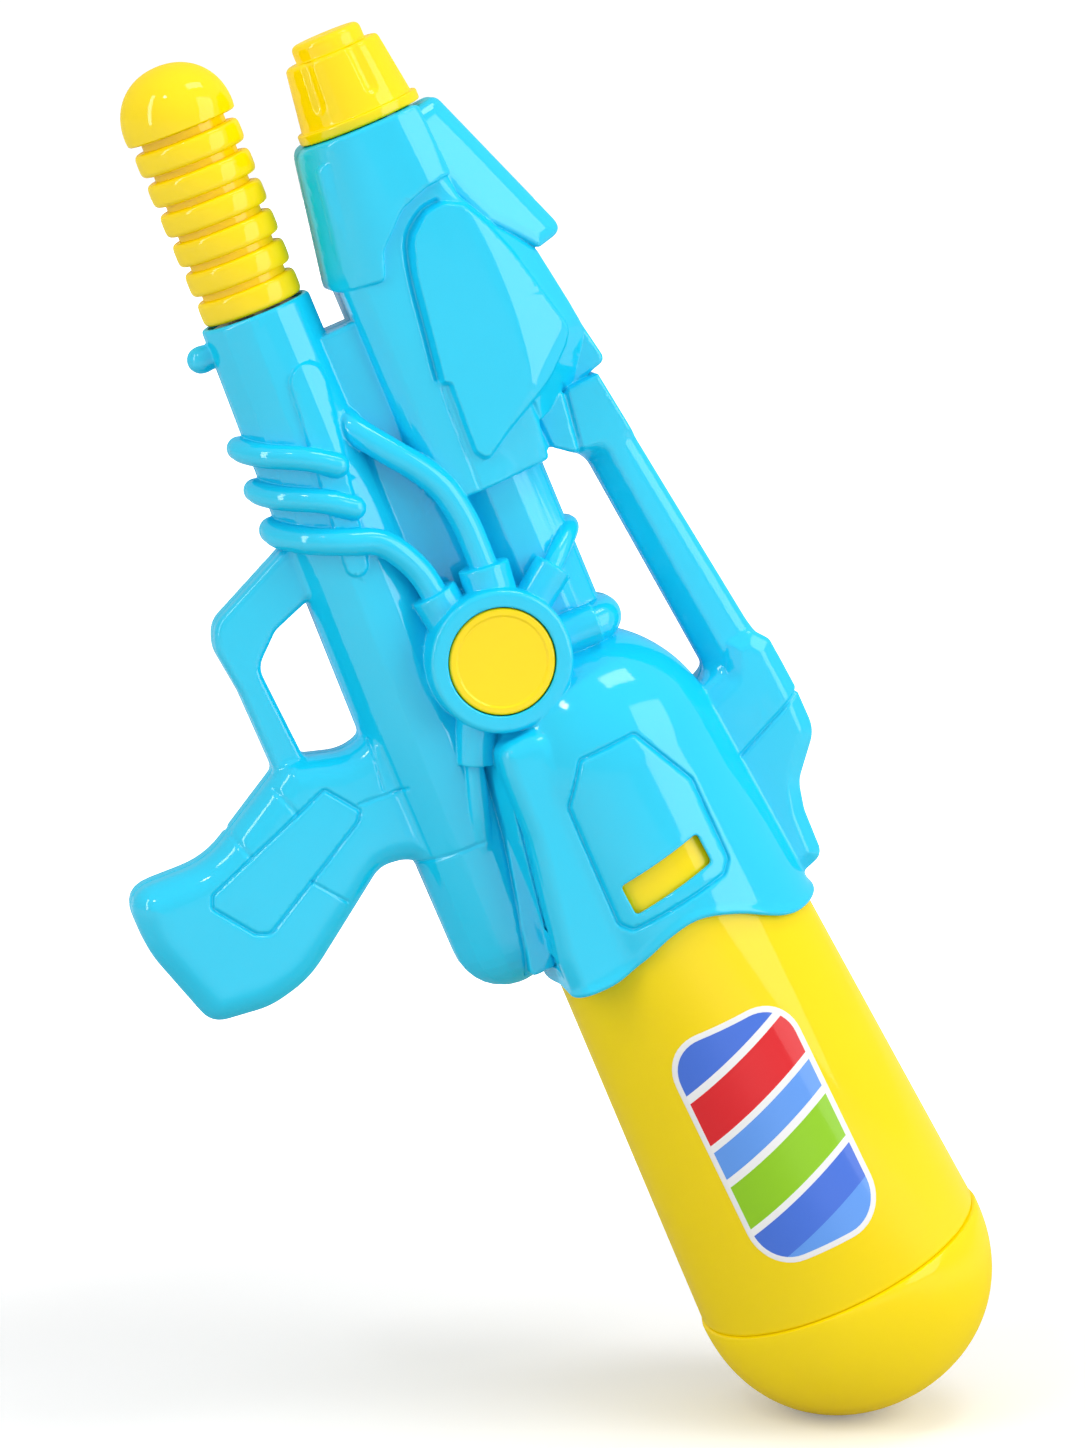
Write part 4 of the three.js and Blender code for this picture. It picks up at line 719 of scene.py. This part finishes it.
class Graph:
    """The nodes of a material or a world, with short ways to add and link them."""

    def __init__(self, owner):
        owner.use_nodes = True
        self.nodes = owner.node_tree.nodes
        self.link = owner.node_tree.links.new

    def put(self, node, **inputs):
        """Sets a node's inputs; an underscore stands for a space in an input's name."""
        for name, value in inputs.items():
            node.inputs[name.replace("_", " ")].default_value = value
        return node

    def add(self, kind, **inputs):
        return self.put(self.nodes.new("ShaderNode" + kind), **inputs)

    def noise(self, place, **inputs):
        node = self.add("TexNoise", **inputs)
        self.link(place, node.inputs["Vector"])
        return node.outputs["Fac"]

    def worked_out(self, operation, a, b):
        """The result of an operation on two outputs."""
        node = self.add("Math")
        node.operation = operation
        self.link(a, node.inputs[0])
        self.link(b, node.inputs[1])
        return node.outputs["Value"]

    def measured(self, operation, place, vector):
        """The result of an operation on a place and a fixed vector."""
        node = self.add("VectorMath")
        node.operation = operation
        node.inputs[1].default_value = vector
        self.link(place, node.inputs[0])
        return node.outputs["Value"]

    def mapped(self, source, **inputs):
        node = self.add("MapRange", **inputs)
        self.link(source, node.inputs["Value"])
        return node

    def ramp(self, source, colours):
        """A colour that follows a noise from one tone to another."""
        node = self.add("ValToRGB")
        for element, position, colour in zip(node.color_ramp.elements, NOISE_SPAN, colours):
            element.position = position
            element.color = (*colour, 1)
        self.link(source, node.inputs["Fac"])
        return node.outputs["Color"]

    def seen_rays(self, path):
        """One for the rays that show the background: straight from the camera, or by a mirror or through glass."""
        either = path.outputs["Is Camera Ray"]
        for kind in ("Is Glossy Ray", "Is Transmission Ray"):
            either = self.worked_out("MAXIMUM", either, path.outputs[kind])
        return either


def plastic(name, colour, shade, roughness, coat=0.0, sharp=0.05, sheen=0.15, grain=0.012, clear=0.0):
    """Moulded plastic: a faint flow pattern in its colour, uneven gloss and a fine skin."""
    material = bpy.data.materials.new(name)
    graph = Graph(material)
    shader = graph.nodes["Principled BSDF"]
    place = graph.add("TexCoord").outputs["Object"]
    flow = graph.noise(place, Scale=22, Detail=3, Distortion=0.6)
    graph.link(graph.ramp(flow, (shade, colour)), shader.inputs["Base Color"])
    wear = graph.noise(place, Scale=130, Detail=4)
    spread = graph.mapped(wear, From_Min=NOISE_SPAN[0], From_Max=NOISE_SPAN[1],
                          To_Min=roughness * GLOSS_SPREAD[0], To_Max=roughness * GLOSS_SPREAD[1])
    graph.link(spread.outputs["Result"], shader.inputs["Roughness"])
    skin = graph.noise(place, Scale=420, Detail=2)
    bump = graph.add("Bump", Strength=grain, Distance=SKIN_HEIGHT)
    graph.link(skin, bump.inputs["Height"])
    graph.link(bump.outputs["Normal"], shader.inputs["Normal"])
    graph.put(shader, Coat_Weight=coat, Coat_IOR=COAT_IOR, Coat_Roughness=sharp, Specular_IOR_Level=sheen,
              Transmission_Weight=clear)
    return material


def steel(name):
    material = plastic(name, (0.56, 0.57, 0.58), (0.48, 0.49, 0.5), 0.3, grain=0.08)
    material.node_tree.nodes["Principled BSDF"].inputs["Metallic"].default_value = 1.0
    return material


MATERIALS = {
    "blue_plastic": plastic("blue plastic", (0.008, 0.60, 0.87), (0.006, 0.585, 0.855), 0.27, coat=0.26, sharp=0.08,
                            sheen=0.0),
    "yellow_plastic": plastic("yellow plastic", (0.99, 0.73, 0.001), (0.97, 0.71, 0.001), 0.27, coat=0.18, sheen=0.0),
    "tank_plastic": plastic("tank plastic", (0.99, 0.74, 0.001), (0.97, 0.72, 0.001), 0.3, coat=0.15, sharp=0.07,
                            sheen=0.0),
    "natural_plastic": plastic("natural plastic", (0.80, 0.82, 0.79), (0.75, 0.77, 0.74), 0.42),
    "seal_rubber": plastic("seal rubber", (0.016, 0.016, 0.018), (0.012, 0.012, 0.013), 0.75, grain=0.15),
    "hose_plastic": plastic("hose plastic", (0.68, 0.76, 0.77), (0.63, 0.71, 0.72), 0.36, clear=0.4),
    "steel": steel("steel"),
}
STEEL_NODES = {"pump_screw", "inlet_ball", "outlet_ball"}
RUBBER_NODES = {"nozzle_o_ring", "piston_o_ring", "tank_gasket"}
HOSE_NODES = {"suction_hose", "delivery_hose", "dip_tube"}


def dress(thing, slot, body, *nodes):
    """Gives a piece its material and its body, and hides the solids of the nodes that it stands for."""
    thing.data.materials.clear()
    thing.data.materials.append(MATERIALS[slot])
    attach(thing, body)
    if nodes:
        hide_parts(*nodes)


# Pieces

def build_shells():
    """The two half shells, which share a form and differ in their screw bosses."""
    base = Field(GRID_LOW, GRID_HIGH)
    add_forms(base)
    outside = base.value.copy()
    hollow(base)
    whole = base.value
    for name, side in (("left_shell", -1), ("right_shell", 1)):
        base.value = whole.copy()
        add_bosses(base, outside, side)
        out = base.axes[1][None, :, None]
        base.value += SEAM_DEPTH * np.exp(-(np.maximum(out, 0) / SEAM_WIDTH) ** 2)
        base.value = np.maximum(base.value, SEAM - out)
        thing = shell_mesh(name + "_skin", base, side)
        dress(thing, "blue_plastic", "gun_body", name)


def build_discs():
    for name, side in (("hub_disc_left", -1), ("hub_disc_right", 1)):
        back = DISC_FACE - DISC_THICKNESS
        profile = rounded([
            (back - 5, 0, 0), (back - 5, 4, 0.5), (back, 4, 0.3), (back, DISC_R, 0.3), (DISC_FACE, DISC_R, 1.1),
            (DISC_FACE, DISC_R - 2.3, 0.5), (DISC_FACE - 0.45, DISC_R - 3, 0.6), (DISC_FACE - 0.3, 0, 0),
        ], 5, closed=False)
        turn = Matrix.Rotation(math.radians(90 * side), 4, "Z")
        place = Matrix.Translation((HUB[0] * MM, 0, HUB[1] * MM)) @ turn
        dress(turned_mesh(name + "_skin", profile, place), "yellow_plastic", "gun_body", name)


def build_nozzle():
    """The nozzle, with six flutes on its cone."""
    back = -219.3
    flute_depth, flute_half, flute_turn = 1.0, 2.5, math.radians(13)
    flange, cone, tip = back - 3.6, back - 25.1, back - 31.1
    profile = rounded([
        (tip, 1.3, 0.2), (tip, 12, 2.6), (cone, 12, 0.8), (cone, 16.2, 2.0), (flange, 19.3, 0.8), (flange, 21, 1.2),
        (back, 21, 0.8), (back, 8.3, 0.3), (-238.6, 8.3, 0.2), (-238.6, 1.3, 0.2),
    ], 6)
    rows = []
    for (x0, r0), (x1, r1) in zip(profile, np.roll(profile, -1, axis=0)):
        pieces = max(1, int(math.hypot(x1 - x0, r1 - r0) / 0.5)) if min(r0, r1) > 11 else 1
        rows += [(x0 + (x1 - x0) * k / pieces, r0 + (r1 - r0) * k / pieces) for k in range(pieces)]

    def fluted(x, r, angle):
        if r < 14.5 or x > flange + 0.5:
            return r
        sector = math.pi / 3
        turn = (angle - flute_turn + sector / 2) % sector - sector / 2
        run = min(max(x, cone - 6), flange - 7)
        reach = math.hypot(x - run, turn * r)
        return r - flute_depth * (1 - min(reach / flute_half, 1) ** 2)

    nozzle = turned_mesh("nozzle_skin", rows, BARREL_FRAME, SIDES * 3 // 2, fluted)
    dress(nozzle, "yellow_plastic", "nozzle", "nozzle")


def build_pump():
    """The pump handle: a ribbed sleeve and its domed cap."""
    front, waist, rib_pitch, rib_half = -0.6, 14.4, 10.45, 4.1
    corners = [(front, 9.5)]
    for i in range(6):
        end = front - i * rib_pitch
        top = 17.1 + 0.2 * i
        corners += arc(end - rib_half, waist, rib_half, top - waist, 0, 180, 21, 0.5)
    corners += [(-63.55, waist), (-63.55, 13), (-11.1, 13), (-11.1, 2.3), (-6.6, 2.3), (-6.6, 9.5)]
    grip = turned_mesh("pump_grip_skin", corners, PUMP_FRAME)
    dress(grip, "yellow_plastic", "pump", "pump_grip")
    back = -63.85
    lip, bore, radius, rise = 12.7, 10.5, 18.8, back - 2.5
    dome = [(back + 8, bore), (back + 8, lip), (back, lip), (back, 18.0), (back - 0.5, 18.6), (rise, radius)]
    dome += arc(rise, 0, radius, radius, 90, 180, 24, 0.94)[1:-1] + [(back - 21.3, 0)]
    dome += [(back - 19.1, 0)] + arc(rise, 0, 16.6, bore, 180, 90, 10)[1:]
    cap = turned_mesh("pump_end_cap_skin", dome, PUMP_FRAME)
    dress(cap, "yellow_plastic", "pump", "pump_end_cap")


def thread_mesh(name, start, root, crest):
    """A screw thread of one and a half turns of 6 mm pitch on the tank's axis."""
    section = [(-1.1, root), (-0.65, crest), (0.65, crest), (1.1, root)]
    steps, run_out = 96, 6
    points = []
    for i in range(steps + 1):
        angle = 3 * math.pi * i / steps
        ease = min(1, i / run_out, (steps - i) / run_out)
        for x, r in section:
            radius = root + (r - root) * ease
            points.append(TANK_FRAME @ Vector(((start + x + 9 * i / steps) * MM, -radius * math.sin(angle) * MM,
                                               radius * math.cos(angle) * MM)))
    faces = [[4 * i + j, 4 * i + (j + 1) % 4, 4 * i + 4 + (j + 1) % 4, 4 * i + 4 + j]
             for i in range(steps) for j in range(4)]
    faces += [[0, 1, 2, 3], [4 * steps + j for j in (3, 2, 1, 0)]]
    thing = new_object(name, points, faces)
    finish_mesh(thing, SHARP_DEGREES)
    return thing


def build_tank():
    """The hollow tank with its neck, its thread and its end cap."""
    neck_end, neck, bore = -16, 15, 12.6
    bend, bend_centre = 17, tank_radius(17) - 9
    outer = [(neck_end, neck), (8, neck)] + arc(bend, bend_centre, 9, 9, 180, 90, 10)
    outer += [(TANK_SEAM - 1.2, tank_radius(TANK_SEAM - 1.2)), (TANK_SEAM, tank_radius(TANK_SEAM) - 0.5)]
    inner = [(neck_end, bore), (10.2, bore)] + arc(bend, bend_centre, 6.8, 6.8, 180, 90, 10)
    inner += [(TANK_SEAM, tank_radius(TANK_SEAM) - WALL)]
    body = turned_mesh("tank_body_skin", outer + inner[::-1], TANK_FRAME)
    dress(body, "tank_plastic", "tank", "tank_body")
    dress(thread_mesh("tank_thread", -13, 14.5, 16.6), "tank_plastic", "tank")
    start = TANK_SEAM + GAP
    radius = tank_radius(TANK_SEAM) + 0.8
    lip_start = start - 8
    lip = tank_radius(lip_start) - 2.5
    power = 2 / 2.15
    cap = [(lip_start, lip - WALL), (lip_start, lip), (start, lip), (start, radius - 1.0),
           (start + 0.4, radius - 0.3), (start + 1.4, radius)]
    cap += arc(start + 1.4, 0, 52.1, radius, 90, 0, 40, power)[1:]
    cap[-1] = (cap[-1][0], 0)
    inside = arc(start, 0, 51.3, lip - WALL, 0, 90, 16, power)
    inside[0] = (inside[0][0], 0)
    thing = turned_mesh("tank_end_cap_skin", cap + inside, TANK_FRAME)
    dress(thing, "tank_plastic", "tank", "tank_end_cap")


LABEL_AT = 131.0
LABEL_TURN = math.radians(97.6)
LABEL_HALF = (43, 24)
LABEL_CORNER = 15
LABEL_BORDER = 2.0
LABEL_INSETS = [0.0, 0.4, LABEL_BORDER, 4.0, 7.0, 10.0, 13.0, 16.0, 19.0, 21.0, 23.0]


def label_paint():
    """Plain slanted bands of colour, in the label's own lengthwise and crosswise coordinates."""
    material = plastic("label paint", (0.9, 0.9, 0.9), (0.88, 0.88, 0.88), 0.3, coat=0.1)
    graph = Graph(material)
    place = graph.add("TexCoord").outputs["Object"]
    slant = graph.measured("DOT_PRODUCT", place, (0.94, 0.34, 0))
    run = graph.mapped(slant, From_Min=-0.044, From_Max=0.044)
    bands = graph.add("ValToRGB")
    bands.color_ramp.interpolation = "CONSTANT"
    white, sea, sky = (0.88, 0.88, 0.88), (0.06, 0.17, 0.70), (0.12, 0.33, 0.85)
    red, green = (0.72, 0.012, 0.018), (0.28, 0.60, 0.01)
    stops = [(0.0, sea), (0.16, white), (0.19, red), (0.36, white), (0.39, sky), (0.5, white), (0.53, green),
             (0.7, white), (0.73, sea), (0.87, sky)]
    while len(bands.color_ramp.elements) < len(stops):
        bands.color_ramp.elements.new(1.0)
    for element, (position, colour) in zip(bands.color_ramp.elements, stops):
        element.position = position
        element.color = (*colour, 1)
    graph.link(run.outputs["Result"], bands.inputs["Fac"])
    graph.link(bands.outputs["Color"], graph.nodes["Principled BSDF"].inputs["Base Color"])
    return material


def label_ring(inset):
    """Places of a rounded rectangle, drawn in by a distance, with close points where the tank bends."""
    length, width, radius = LABEL_HALF[0] - inset, LABEL_HALF[1] - inset, max(LABEL_CORNER - inset, 0.5)
    ring = []
    for a, b, start in ((1, 1, 0), (-1, 1, 90), (-1, -1, 180), (1, -1, 270)):
        for t in np.radians(np.linspace(start, start + 90, 12)):
            ring.append((a * (length - radius) + radius * math.cos(t), b * (width - radius) + radius * math.sin(t)))
        if start in (90, 270):
            ring += [(a * length, b * (width - radius) * (1 - 2 * t)) for t in np.linspace(0, 1, 22)[1:-1]]
    return ring


def build_label():
    """A thin printed label that follows the tank's side, with a pale border."""
    place = TANK_FRAME @ Matrix.Translation((LABEL_AT * MM, 0, 0)) @ Matrix.Rotation(LABEL_TURN, 4, "X")
    layers = [(inset, 0.05) for inset in LABEL_INSETS[::-1]]
    layers += [(inset, 0.12 if inset == 0 else 0.22) for inset in LABEL_INSETS]
    points = []
    for inset, height in layers:
        for u, v in label_ring(inset):
            radius = tank_radius(LABEL_AT + u) + height
            points.append((u * MM, radius * math.sin(v / radius) * MM, radius * math.cos(v / radius) * MM))
    count = len(points) // len(layers)
    faces, border = [list(range(count))[::-1]], [False]
    for i in range(len(layers) - 1):
        for j in range(count):
            k = (j + 1) % count
            faces.append([i * count + j, i * count + k, (i + 1) * count + k, (i + 1) * count + j])
            border.append(max(layers[i][0], layers[i + 1][0]) <= LABEL_BORDER)
    faces.append(list(range(len(points) - count, len(points))))
    border.append(False)
    thing = new_object("tank_label", points, faces)
    thing.matrix_world = place
    finish_mesh(thing, 60)
    thing.data.materials.append(label_paint())
    thing.data.materials.append(plastic("label border", (0.88, 0.88, 0.88), (0.85, 0.85, 0.85), 0.3, coat=0.1))
    for face, pale in zip(thing.data.polygons, border):
        face.material_index = int(pale)
    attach(thing, "tank")


def dress_nodes():
    """Materials for the solids, most of which are inside."""
    for name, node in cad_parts.items():
        if name in STEEL_NODES or name.startswith("shell_screw"):
            kind = "steel"
        elif name in RUBBER_NODES:
            kind = "seal_rubber"
        elif name in HOSE_NODES:
            kind = "hose_plastic"
        else:
            kind = "natural_plastic"
        node.data.materials.clear()
        node.data.materials.append(MATERIALS[kind])


# Stage

CAMERA_AT = Vector((-0.3339, -1.5048, -0.0820))
CAMERA_RIGHT = Vector((0.3772, -0.1908, 0.9062)).normalized()
CAMERA_BACK = Vector((-0.2090, -0.9708, -0.1174)).normalized()
CAMERA_UP = CAMERA_BACK.cross(CAMERA_RIGHT).normalized()
FLOOR_UP = Vector((-0.9232, 0, 0.3843)).normalized()
AIM = Vector((-0.01, 0, 0.1))
LENS, SENSOR = 114.35, 36
FLOOR_HALF = 12
FLOOR_GAP = 0.0002
BACKDROP = 1.05
WHITE = (1, 1, 1, 1)

# Lamps: name, direction to the right, up and back from the camera, distance, width and height in m, power in W
LAMPS = [
    ("key", 0.85, 0.3, 0.5, 1.5, 0.9, 1.4, 12.0),
    ("spot", -0.45, 0.75, 0.8, 1.6, 0.14, 0.14, 1.4),
    ("top", 0.35, 1.0, 0.3, 1.5, 0.7, 0.3, 4.0),
    ("left", -0.85, 0.3, 0.6, 1.6, 0.2, 1.4, 7.5),
]


def build_camera():
    data = bpy.data.cameras.new("camera")
    data.lens = LENS
    data.sensor_width = SENSOR
    data.sensor_fit = "AUTO"
    data.clip_end = 100
    camera = bpy.data.objects.new("camera", data)
    bpy.context.scene.collection.objects.link(camera)
    turn = Matrix((CAMERA_RIGHT, CAMERA_UP, CAMERA_BACK)).transposed().to_4x4()
    camera.matrix_world = Matrix.Translation(CAMERA_AT) @ turn
    bpy.context.scene.camera = camera
    return camera


def softbox(name, right, up, back, distance, width, height, power):
    """A large soft light, placed from the camera's point of view and facing the gun."""
    data = bpy.data.lights.new(name, "AREA")
    data.shape = "RECTANGLE"
    data.size = width
    data.size_y = height
    data.energy = power
    lamp = bpy.data.objects.new(name, data)
    bpy.context.scene.collection.objects.link(lamp)
    ahead = (CAMERA_RIGHT * right + CAMERA_UP * up + CAMERA_BACK * back).normalized()
    side = CAMERA_UP.cross(ahead).normalized()
    turn = Matrix((side, ahead.cross(side), ahead)).transposed().to_4x4()
    lamp.matrix_world = Matrix.Translation(AIM + ahead * distance) @ turn
    return lamp


def build_floor():
    """A wide pale floor that the tank's end rests on, clear when it is seen from below."""
    tank = bpy.data.objects["tank_end_cap_skin"]
    lowest = min(FLOOR_UP.dot(tank.matrix_world @ v.co) for v in tank.data.vertices)
    middle = AIM + FLOOR_UP * (lowest - FLOOR_GAP - FLOOR_UP.dot(AIM))
    side = Vector((0, 1, 0))
    ahead = FLOOR_UP.cross(side)
    signs = ((-1, -1), (1, -1), (1, 1), (-1, 1))
    corners = [middle + side * a * FLOOR_HALF + ahead * b * FLOOR_HALF for a, b in signs]
    floor = new_object("floor", corners, [(0, 1, 2, 3)])
    if floor.data.polygons[0].normal.dot(FLOOR_UP) < 0:
        floor.data.flip_normals()
    material = bpy.data.materials.new("floor")
    graph = Graph(material)
    shader = graph.put(graph.nodes["Principled BSDF"], Roughness=0.9, Specular_IOR_Level=0.1, Emission_Color=WHITE)
    cloud = graph.add("TexNoise", Scale=3).outputs["Fac"]
    path = graph.add("LightPath")
    tone = graph.add("Mix")
    tone.data_type = "RGBA"
    graph.put(tone, A=(0.6, 0.6, 0.6, 1))
    graph.link(path.outputs["Is Camera Ray"], tone.inputs["Factor"])
    graph.link(graph.ramp(cloud, ((0.9, 0.9, 0.9), (0.92, 0.92, 0.92))), tone.inputs["B"])
    graph.link(tone.outputs["Result"], shader.inputs["Base Color"])
    far = graph.measured("DISTANCE", graph.add("TexCoord").outputs["Object"], middle)
    fade = graph.mapped(far, From_Min=0.22, From_Max=0.6, To_Min=0.2, To_Max=BACKDROP)
    fade.interpolation_type = "SMOOTHSTEP"
    seen = graph.worked_out("MULTIPLY", fade.outputs["Result"], graph.seen_rays(path))
    graph.link(seen, shader.inputs["Emission Strength"])
    under = graph.add("MixShader")
    graph.link(graph.add("NewGeometry").outputs["Backfacing"], under.inputs["Fac"])
    graph.link(shader.outputs["BSDF"], under.inputs[1])
    graph.link(graph.add("BsdfTransparent").outputs["BSDF"], under.inputs[2])
    graph.link(under.outputs["Shader"], graph.nodes["Material Output"].inputs["Surface"])
    floor.data.materials.append(material)
    return floor


def build_world():
    """A white backdrop, and softer light that is strongest from the front and above."""
    world = bpy.data.worlds.new("studio")
    bpy.context.scene.world = world
    graph = Graph(world)
    graph.nodes.clear()
    output = graph.add("OutputWorld")
    mix = graph.add("MixShader")
    path = graph.add("LightPath")
    seen = graph.add("Background", Color=WHITE, Strength=BACKDROP)
    light = graph.add("Background", Color=WHITE)
    ahead = (CAMERA_RIGHT * 0.1 + CAMERA_UP * 0.45 + CAMERA_BACK * 0.85).normalized()
    aim = graph.measured("DOT_PRODUCT", graph.add("TexCoord").outputs["Generated"], ahead)
    sky = graph.mapped(aim, From_Min=-1, From_Max=1, To_Min=0.26, To_Max=0.72)
    graph.link(sky.outputs["Result"], light.inputs["Strength"])
    graph.link(graph.seen_rays(path), mix.inputs["Fac"])
    graph.link(light.outputs["Background"], mix.inputs[1])
    graph.link(seen.outputs["Background"], mix.inputs[2])
    graph.link(mix.outputs["Shader"], output.inputs["Surface"])


def build_stage():
    lamps = [softbox(*lamp) for lamp in LAMPS]
    camera = build_camera()
    floor = build_floor()
    build_world()
    bpy.context.scene.view_settings.view_transform = "Standard"


dress_nodes()
build_shells()
build_discs()
build_nozzle()
build_pump()
build_tank()
build_label()
build_stage()
